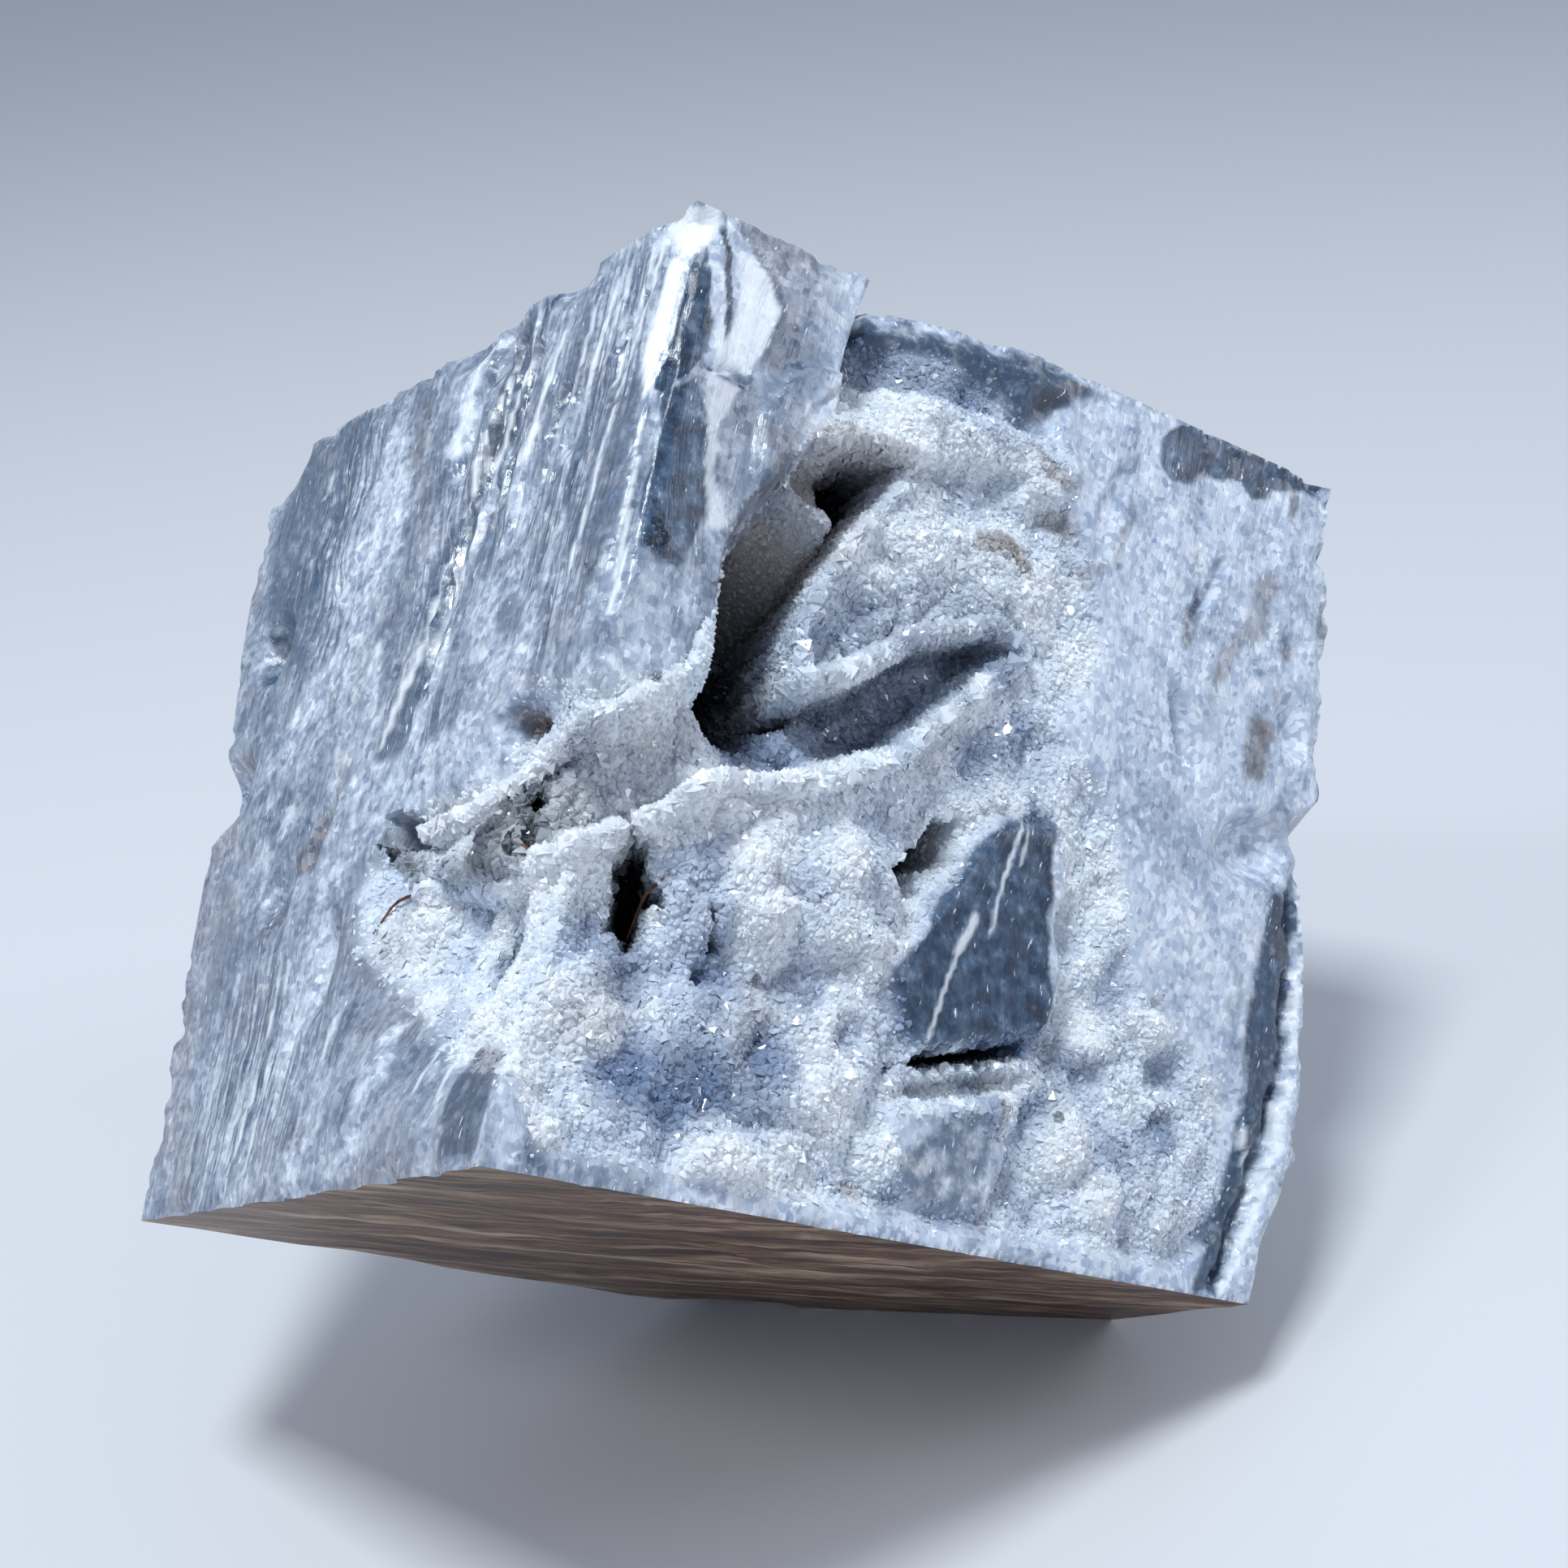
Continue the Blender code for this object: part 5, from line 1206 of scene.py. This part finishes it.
# Clear points: place on the chart, radius, length, and how they lean across, up and out
CLEAR_POINTS = [
    (27.4, 45.6, 0.50, 2.0, 0.2, -1.0, 0.35), (30.6, 47.4, 0.38, 1.4, 0.1, -1.0, 0.5),
    (22.8, 42.6, 0.34, 1.3, 0.2, -1.0, 0.6), (34.0, 48.6, 0.36, 1.2, 0.3, -0.8, 0.8),
    (2.4, 45.8, 0.40, 0.9, 0.4, -0.3, 1.0), (3.4, 44.6, 0.44, 1.0, -0.2, 0.4, 1.0),
    (2.0, 44.2, 0.34, 0.8, 0.1, 0.2, 1.0), (59.5, 22.5, 0.42, 1.2, 0.3, 0.6, 1.0),
    (51.5, 11.5, 0.46, 1.1, -0.4, 0.5, 1.0), (64.0, 13.5, 0.42, 1.0, 0.4, 0.3, 1.0),
    (61.0, 3.0, 0.42, 1.1, 0.2, 0.5, 1.0), (20.6, 16.6, 0.36, 1.0, 0.1, 0.6, 1.0),
    (4.8, 34.6, 0.36, 1.1, 0.2, 0.8, 0.7), (-18.0, 27.6, 0.36, 1.0, 0.0, 0.8, 0.7),
    (14.0, 30.0, 0.34, 1.0, 0.1, 0.8, 0.7), (-3.0, 42.5, 0.3, 0.7, 0.0, 0.3, 1.0),
]


def on_sheet(place_across, place_up, lift):
    """The sheet's point nearest to each place on the chart, lifted out of the sheet, and the way out there."""
    gap = (seen[None] - place_across[:, None, None]) ** 2 + (up[None] - place_up[:, None, None]) ** 2
    cell = np.unravel_index(np.argmin(gap.reshape(len(place_across), -1), axis=1), seen.shape)
    return sheet[cell] + normals[cell] * lift[:, None], normals[cell]


def tube(path, radius):
    """A closed six-sided tube: around each point of the path, the circle cos, sin in two directions square to
    the path, thinner towards the ends, with a point at either end."""
    way = unit(np.gradient(path, axis=0))
    first = unit(np.cross(way, np.array([0.3, 0.8, 0.52])))
    second = np.cross(way, first)
    angle = np.arange(6) * math.pi / 3.0
    thick = radius * (0.35 + 0.65 * np.sin(np.linspace(0.15, 1.0, len(path)) * math.pi * 0.9))
    circle = first[:, None] * np.cos(angle)[None, :, None] + second[:, None] * np.sin(angle)[None, :, None]
    points = np.concatenate([(path[:, None] + circle * thick[:, None, None]).reshape(-1, 3), path[[0, -1]]])
    ring = np.arange(6)
    row = np.arange(len(path) - 1)[:, None] * 6
    walls = np.stack([row + ring, row + (ring + 1) % 6, row + 6 + (ring + 1) % 6, row + 6 + ring], axis=-1)
    last = (len(path) - 1) * 6
    start = np.stack([(ring + 1) % 6, ring, ring * 0 + last + 6], axis=-1)
    end = np.stack([last + ring, last + (ring + 1) % 6, ring * 0 + last + 7], axis=-1)
    corners = np.concatenate([walls.ravel(), start.ravel(), end.ravel()])
    return points, corners, [4] * walls[..., 0].size + [3] * 12


def joined(name, parts):
    """One mesh of several parts, each with points, corner numbers and face sizes."""
    starts = np.cumsum([0] + [len(points) for points, _, _ in parts])
    corners = np.concatenate([corners + start for (_, corners, _), start in zip(parts, starts)])
    made = add_object(make_mesh(name, np.concatenate([part[0] for part in parts]), corners,
                                np.concatenate([sizes for _, _, sizes in parts])))
    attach(made, "root")
    print(name, len(parts), "pieces,", len(made.data.polygons), "faces")
    return made


def bent(places):
    """A smooth path through a needle's places: straight stretches whose corners are rounded by averaging."""
    marks = np.array(places)
    points, _ = on_sheet(marks[:, 0], marks[:, 1], marks[:, 2])
    steps = np.linspace(0.0, len(marks) - 1.0, NEEDLE_STEPS)
    path = np.stack([np.interp(steps, np.arange(len(marks)), points[:, k]) for k in range(3)], axis=-1)
    path[1:-1] = (path[:-2] + path[1:-1] + path[2:]) / 3.0
    return path


def clear_point(place, axis, radius, length):
    """A six-sided prism, its foot under the sheet, with a tip of six faces: cos and sin of 60 degree steps."""
    first = unit(np.cross(axis, np.array([0.2, 0.5, 0.84])))
    second = np.cross(axis, first)
    angle = np.arange(6) * math.pi / 3.0
    circle = radius * (first * np.cos(angle)[:, None] + second * np.sin(angle)[:, None])
    foot, shoulder = place - axis * length * 0.4, place + axis * (length - radius * TIP_HEIGHT)
    points = np.concatenate([foot + circle, shoulder + circle, (place + axis * length)[None]])
    k = np.arange(6)
    walls = np.stack([k, (k + 1) % 6, 6 + (k + 1) % 6, 6 + k], axis=-1)
    tip = np.stack([6 + k, 6 + (k + 1) % 6, k * 0 + 12], axis=-1)
    return points, np.concatenate([k[::-1], walls.ravel(), tip.ravel()]), [6] + [4] * 6 + [3] * 6


needles = joined("iron_needles", [tube(bent(places), NEEDLE_RADIUS) for places in NEEDLES])
marks = np.array(CLEAR_POINTS)
feet, ways_out = on_sheet(marks[:, 0], marks[:, 1], 0.0 * marks[:, 0])
leans = unit(RIGHT_ALONG * marks[:, [4]] + RIDGE_WAY * marks[:, [5]] + ways_out * marks[:, [6]])
clear_points = joined("clear_quartz_points", [
    clear_point(foot, lean, radius, length) for foot, lean, (radius, length) in zip(feet, leans, marks[:, 2:4])])
clear_points.data.shade_flat()

# %% [markdown]
# ## Materials
#
# Chalcedony is quartz in crystals too small to see. Light goes a millimetre or two into it and comes back, so it
# looks soft and milky, and its polish gives it a glassy skin. A painted texture would be flat. Here layered
# noise follows the bands, and the maps on the mesh decide where slate, white or brown stone shows, and where
# painted glints and painted shade go.

# %% A node helper and the stone's shared colours
CHALCEDONY_IOR = 1.54
QUARTZ_IOR = 1.544


def add(tree, kind, inputs=None, **settings):
    """Adds a node: sets its settings, then fills its inputs with numbers or links them to other sockets."""
    node = tree.nodes.new(kind)
    for name, value in settings.items():
        setattr(node, name, value)
    for name, value in (inputs or {}).items():
        if isinstance(value, bpy.types.NodeSocket):
            tree.links.new(value, node.inputs[name])
        else:
            node.inputs[name].default_value = value
    return node


def new_material(name, **sockets):
    """A Principled material, with the given values on the shader's own sockets."""
    made = bpy.data.materials.new(name)
    made.use_nodes = True
    shader = made.node_tree.nodes["Principled BSDF"]
    for socket, value in sockets.items():
        shader.inputs[socket.replace("_", " ")].default_value = value
    return made, made.node_tree, shader


def rgba(code):
    """A hex colour as the four linear numbers that a colour socket takes."""
    return (*linear(code), 1.0)


def streaks(tree, vector, sizes, detail=5.0, bend=0.0):
    """Noise drawn out along the bands: sizes are its grain in mm along, beside and across them."""
    scaled = add(tree, "ShaderNodeMapping", {"Vector": vector, "Scale": tuple(1.0 / size for size in sizes)})
    return add(tree, "ShaderNodeTexNoise", {
        "Vector": scaled.outputs["Vector"], "Scale": 1.0, "Detail": detail, "Roughness": 0.62,
        "Distortion": bend}).outputs["Fac"]


def clouds(tree, size, detail=5.0):
    """Even noise in Object coordinates, with grains of this size in mm."""
    place = add(tree, "ShaderNodeTexCoord").outputs["Object"]
    return add(tree, "ShaderNodeTexNoise", {
        "Vector": place, "Scale": 1.0 / (size * MM), "Detail": detail, "Roughness": 0.6}).outputs["Fac"]


def ramp(tree, value, stops):
    """A colour ramp through hex colours at places from 0 to 1."""
    node = add(tree, "ShaderNodeValToRGB", {"Fac": value})
    while len(node.color_ramp.elements) < len(stops):
        node.color_ramp.elements.new(0.5)
    for element, (place, code) in zip(node.color_ramp.elements, stops):
        element.position = place
        element.color = rgba(code)
    return node.outputs["Color"]


def mixed(tree, share, first, second):
    """One colour turning into another by a share."""
    return add(tree, "ShaderNodeMix", {0: share, 6: first, 7: second}, data_type="RGBA").outputs[2]


def broken_share(tree, name, grain, reach, low, high):
    """A map of the mesh with its edge broken up by noise: smooth from low to high of map + reach (noise - 0.5)."""
    source = add(tree, "ShaderNodeAttribute", attribute_name=name)
    shifted = add(tree, "ShaderNodeMath", {0: grain, 1: reach, 2: -0.5 * reach}, operation="MULTIPLY_ADD")
    total = add(tree, "ShaderNodeMath", {0: source.outputs["Fac"], 1: shifted.outputs[0]}, operation="ADD")
    return add(tree, "ShaderNodeMapRange", {
        "Value": total.outputs[0], "From Min": low, "From Max": high},
        interpolation_type="SMOOTHSTEP").outputs["Result"]


# %% Chalcedony, sawn and part-polished
# Quartz glass over soft milky depth: SSS of about a millimetre gives the softness, low roughness the polish
GRAIN = 0.55 * MM
FACET_TILT = 0.22


def faceted_normal(tree, size, tilt, share):
    """Tilts the surface a little differently in each cell of a crystal grain: normal + tilt (colour - 0.5)."""
    place = add(tree, "ShaderNodeTexCoord").outputs["Object"]
    cell = add(tree, "ShaderNodeTexVoronoi", {"Vector": place, "Scale": 1.0 / size})
    random_way = add(tree, "ShaderNodeVectorMath", {0: cell.outputs["Color"], 1: (0.5, 0.5, 0.5)},
                     operation="SUBTRACT")
    amount = add(tree, "ShaderNodeMath", {0: share, 1: tilt}, operation="MULTIPLY")
    tilted = add(tree, "ShaderNodeVectorMath", {0: random_way.outputs[0], "Scale": amount.outputs[0]},
                 operation="SCALE")
    flat = add(tree, "ShaderNodeNewGeometry").outputs["Normal"]
    total = add(tree, "ShaderNodeVectorMath", {0: flat, 1: tilted.outputs[0]}, operation="ADD")
    return add(tree, "ShaderNodeVectorMath", {0: total.outputs[0]}, operation="NORMALIZE").outputs[0], cell


front_stone, tree, shader = new_material(
    "banded chalcedony, sawn and polished", IOR=CHALCEDONY_IOR, Subsurface_Weight=0.15, Subsurface_Scale=0.0012,
    Subsurface_Radius=(1.0, 1.1, 1.25))
layers = add(tree, "ShaderNodeAttribute", attribute_name="strata").outputs["Vector"]
wide = streaks(tree, layers, (17.0, 6.0, 3.0))
middle = streaks(tree, layers, (7.0, 2.4, 1.0))
thin = streaks(tree, layers, (8.0, 1.6, 0.34))
speck = streaks(tree, layers, (1.3, 0.9, 0.6), 3.0)
cloud = clouds(tree, 5.0, 6.0)
mottle = clouds(tree, 1.7, 6.0)
ribbed = add(tree, "ShaderNodeAttribute", attribute_name="ribbed").outputs["Fac"]
cloudy = add(tree, "ShaderNodeAttribute", attribute_name="cloudy").outputs["Fac"]
colour = ramp(tree, wide, [(0.34, "#4A566B"), (0.45, "#768195"), (0.55, "#9EA9B8"), (0.68, "#E2E8EF")])
middle_colour = ramp(tree, middle, [(0.34, "#4E5A6F"), (0.50, "#8E99AA"), (0.64, "#E4EAF1")])
colour = mixed(tree, 0.42, colour, middle_colour)
patchy = ramp(tree, cloud, [(0.36, "#556177"), (0.50, "#97A2B1"), (0.62, "#F3F6FA")])
colour = mixed(tree, 0.5, colour, patchy)
sugar = ramp(tree, mottle, [(0.36, "#5E6A80"), (0.50, "#A4AEBC"), (0.62, "#F4F7FB")])
colour = mixed(tree, 0.25, colour, sugar)
warm = add(tree, "ShaderNodeMapRange", {"Value": clouds(tree, 11.0, 3.0), "From Min": 0.52, "From Max": 0.66,
                                        "To Max": 0.5}).outputs["Result"]
colour = mixed(tree, warm, colour, rgba("#A39694"))
thin_colour = ramp(tree, thin, [(0.36, "#3A4558"), (0.47, "#8994A5"), (0.57, "#F6F9FC")])
thin_share = add(tree, "ShaderNodeMath", {0: ribbed, 1: 0.55, 2: 0.14}, operation="MULTIPLY_ADD").outputs[0]
colour = mixed(tree, thin_share, colour, thin_colour)
milky = ramp(tree, cloud, [(0.34, "#A2AEC0"), (0.44, "#D0D9E6"), (0.54, "#EAF0F8"), (0.66, "#FCFDFF")])
colour = mixed(tree, cloudy, colour, milky)
# White stone, with the painted highlights of the ridge, apex and prow
milk_and_highlight = broken_share(tree, "milk_and_highlight", mottle, 1.5, 0.15, 0.95)
colour = mixed(tree, milk_and_highlight, colour, ramp(tree, mottle, [(0.35, "#C6D0DF"), (0.6, "#F9FBFF")]))
slate = broken_share(tree, "slate", mottle, 1.3, 0.25, 0.85)
slate_colour = ramp(tree, mottle, [(0.30, "#132133"), (0.45, "#2B4058"), (0.58, "#4B6179"), (0.72, "#8B9CB0")])
colour = mixed(tree, slate, colour, slate_colour)
brown = broken_share(tree, "brown", mottle, 1.0, 0.10, 1.45)
colour = mixed(tree, brown, colour, ramp(tree, mottle, [(0.35, "#352822"), (0.65, "#75645A")]))
druse_map = add(tree, "ShaderNodeAttribute", attribute_name="druse").outputs["Fac"]
hollow = add(tree, "ShaderNodeAttribute", attribute_name="hollow").outputs["Fac"]
facets = add(tree, "ShaderNodeMath", {0: slate, 1: -0.55, 2: 1.0}, operation="MULTIPLY_ADD").outputs[0]
facet_normal, cell = faceted_normal(tree, GRAIN, FACET_TILT, facets)
cell_value = add(tree, "ShaderNodeSeparateColor", {"Color": cell.outputs["Color"]}).outputs["Red"]
grainy = ramp(tree, cell_value, [(0.0, "#BCC7D5"), (1.0, "#FFFFFF")])
colour = add(tree, "ShaderNodeMix", {0: facets, 6: colour, 7: grainy}, data_type="RGBA",
             blend_type="MULTIPLY").outputs[2]
# Painted glints: short bright dashes along the bands
glint_noise = streaks(tree, layers, (1.6, 0.7, 0.22), 2.0)
painted_glints = add(tree, "ShaderNodeMapRange", {"Value": glint_noise, "From Min": 0.68, "From Max": 0.73}).outputs["Result"]
colour = mixed(tree, painted_glints, colour, rgba("#F2F8FF"))
# White seams, and painted glints and reflections of the polish
seam_and_glint = add(tree, "ShaderNodeAttribute", attribute_name="seam_and_glint").outputs["Fac"]
colour = mixed(tree, seam_and_glint, colour, rgba("#FAFDFF"))
grown_colour = add(tree, "ShaderNodeAttribute", attribute_name="tint").outputs["Vector"]
colour = mixed(tree, druse_map, colour, grown_colour)
# Painted shade: the pocket's depths and the holes turn near-black
colour = mixed(tree, hollow, colour, rgba("#0E1218"))
tree.links.new(colour, shader.inputs["Base Color"])
gloss = add(tree, "ShaderNodeMapRange", {"Value": thin, "From Min": 0.35, "From Max": 0.65, "To Min": 0.14,
                                         "To Max": 0.38}).outputs["Result"]
gloss = add(tree, "ShaderNodeMath", {0: druse_map, 1: 0.25, 2: gloss}, operation="MULTIPLY_ADD").outputs[0]
tree.links.new(gloss, shader.inputs["Roughness"])
skin = add(tree, "ShaderNodeBump", {"Height": thin, "Strength": 0.6, "Distance": 0.00025, "Normal": facet_normal})
tree.links.new(skin.outputs["Normal"], shader.inputs["Normal"])

# %% Chalcedony, sawn sides
# The same stone left from the saw: satin, grey where it is pure, and flowing brown stripes in the rind
side_stone, tree, shader = new_material(
    "banded chalcedony, sawn", IOR=CHALCEDONY_IOR, Subsurface_Weight=0.08, Subsurface_Scale=0.001,
    Subsurface_Radius=(1.0, 1.0, 1.1))
layers = add(tree, "ShaderNodeAttribute", attribute_name="strata").outputs["Vector"]
wide = streaks(tree, layers, (24.0, 17.0, 3.8), 6.0, 1.1)
thin = streaks(tree, layers, (15.0, 10.0, 0.9), 6.0, 0.8)
cloud = clouds(tree, 6.0, 6.0)
rind_map = add(tree, "ShaderNodeAttribute", attribute_name="rind").outputs["Fac"]
colour = ramp(tree, wide, [(0.34, "#1A0C06"), (0.44, "#4A2A1A"), (0.53, "#76563F"), (0.66, "#C9B199")])
fine_colour = ramp(tree, thin, [(0.36, "#1A0D07"), (0.50, "#593D2B"), (0.64, "#B8A087")])
matrix = mixed(tree, 0.42, colour, fine_colour)
clear_bands = ramp(tree, wide, [(0.36, "#566173"), (0.45, "#8E97A5"), (0.53, "#BEC5CE"), (0.62, "#F0F2F5")])
even_colour = ramp(tree, cloud, [(0.36, "#707A89"), (0.50, "#A9B0BA"), (0.62, "#E6EAEF")])
clear_bands = mixed(tree, 0.35, clear_bands, even_colour)
tree.links.new(mixed(tree, rind_map, clear_bands, matrix), shader.inputs["Base Color"])
gloss = add(tree, "ShaderNodeMapRange", {"Value": thin, "To Min": 0.3, "To Max": 0.6}).outputs["Result"]
tree.links.new(gloss, shader.inputs["Roughness"])
skin = add(tree, "ShaderNodeBump", {"Height": thin, "Strength": 0.5, "Distance": 0.0003})
tree.links.new(skin.outputs["Normal"], shader.inputs["Normal"])
block_mesh.materials.append(front_stone)
block_mesh.materials.append(side_stone)

# %% Quartz druse
# Small clear-to-milky crystals: glassy faces that flash, over a white body
druse_quartz, tree, shader = new_material(
    "quartz druse, grown", IOR=QUARTZ_IOR, Roughness=0.10, Subsurface_Weight=0.25, Subsurface_Scale=0.0008,
    Subsurface_Radius=(1.0, 1.05, 1.15))
tint_map = add(tree, "ShaderNodeAttribute", attribute_name="tint")
# The tint holds painted shade of the depths and creases, and painted light on knob tops and the recess wall
tree.links.new(tint_map.outputs["Color"], shader.inputs["Base Color"])
for piece in druse_pieces:
    piece.data.materials.append(druse_quartz)

# %% Clear quartz and rust
# Clear quartz: light passes straight through and bends by the glass's own index, with a faint smoky loss
clear_quartz, tree, shader = new_material(
    "clear quartz, grown", IOR=QUARTZ_IOR, Roughness=0.02, Transmission_Weight=1.0)
smoke = add(tree, "ShaderNodeVolumeAbsorption", {"Color": rgba("#C9D4E2"), "Density": 150.0})
tree.links.new(smoke.outputs["Volume"], tree.nodes["Material Output"].inputs["Volume"])
clear_points.data.materials.append(clear_quartz)
# Rusty iron: matt brown, darker and redder in patches
rust, tree, shader = new_material("iron oxide, weathered", Roughness=0.75)
rust_colour = ramp(tree, clouds(tree, 0.9, 3.0), [(0.35, "#3A2118"), (0.65, "#8A5A40")])
tree.links.new(rust_colour, shader.inputs["Base Color"])
needles.data.materials.append(rust)

# %% [markdown]
# ## Floor, light and camera
#
# A plain pale floor shows the block without distracting from it. Druse sparkles only under a small strong light,
# while the milky stone wants a wide soft one, so there are both: one softbox high above, a second low on the
# right that mirrors in the polished prow, and a pale sky that fills the shade.

# %% Floor
# Its edges lie 12 m away, so that no corner of it shows from any side
FLOOR_REACH = 12000.0
floor_corners = FLOOR_REACH * np.array([[-1.0, -1.0, 0.0], [1.0, -1.0, 0.0], [1.0, 1.0, 0.0], [-1.0, 1.0, 0.0]])
floor_mesh = make_mesh("floor", floor_corners, np.arange(4), np.array([4]))
floor = add_object(floor_mesh)
floor_paint, tree, shader = new_material("matt studio floor", Roughness=0.7)
shader.inputs["Base Color"].default_value = rgba("#DEDEDF")
floor_mesh.materials.append(floor_paint)

# %% Softboxes and sky
SUBJECT = Vector((0.0, 0.0, 0.05))


def softbox(name, way, distance, size, radiance, colour):
    """A square light that faces the block. Its power is radiance times pi times its area."""
    lamp = bpy.data.lights.new(name, "AREA")
    lamp.shape = "SQUARE"
    lamp.size = size
    lamp.energy = radiance * math.pi * size**2
    lamp.color = tuple(linear(colour))
    made = bpy.data.objects.new(name, lamp)
    made.location = SUBJECT + Vector(way).normalized() * distance
    made.rotation_euler = (SUBJECT - made.location).to_track_quat("-Z", "Y").to_euler()
    bpy.context.scene.collection.objects.link(made)
    print(name, "at", [round(v, 2) for v in made.location], "power", round(lamp.energy, 2), "W")


softbox("softbox above", (-0.16, -0.20, 0.98), 0.70, 0.15, 50.0, "#EEF8FF")
softbox("softbox right", (0.93, 0.04, 0.40), 0.75, 0.24, 6.0, "#F2F6FF")
softbox("softbox left", (-0.70, -0.45, 0.75), 0.80, 0.16, 12.0, "#F2F6FF")
world = bpy.data.worlds.new("pale sky")
world.use_nodes = True
world.node_tree.nodes["Background"].inputs["Color"].default_value = rgba("#D6E4FC")
world.node_tree.nodes["Background"].inputs["Strength"].default_value = 0.47
bpy.context.scene.world = world
bpy.context.scene.view_settings.view_transform = "Standard"

# %% Camera
# Found by matching the block's eight corners in the 1932 by 1932 frame
IMAGE_SIZE = 1932
FOCAL_PIXELS = 2800.9
CAMERA_PLACE = Vector((1.2, -173.2, 134.7)) * MM
PITCH = math.radians(26.3326)
ROLL = math.radians(-5.0571)
level_up = Vector((0.0, math.sin(PITCH), math.cos(PITCH)))
level_right = Vector((1.0, 0.0, 0.0))
forward = Vector((0.0, math.cos(PITCH), -math.sin(PITCH)))
camera_x = level_right * math.cos(ROLL) + level_up * math.sin(ROLL)
camera_y = level_up * math.cos(ROLL) - level_right * math.sin(ROLL)
camera_data = bpy.data.cameras.new("camera")
camera_data.sensor_width = 36.0
camera_data.lens = FOCAL_PIXELS * 36.0 / IMAGE_SIZE
camera_data.clip_start = 0.01
camera_data.clip_end = 20.0
camera = bpy.data.objects.new("camera", camera_data)
turned = Matrix((camera_x, camera_y, -forward)).transposed().to_4x4()
camera.matrix_world = Matrix.Translation(CAMERA_PLACE) @ turned
bpy.context.scene.collection.objects.link(camera)
bpy.context.scene.camera = camera
print("lens", round(camera_data.lens, 2), "mm")
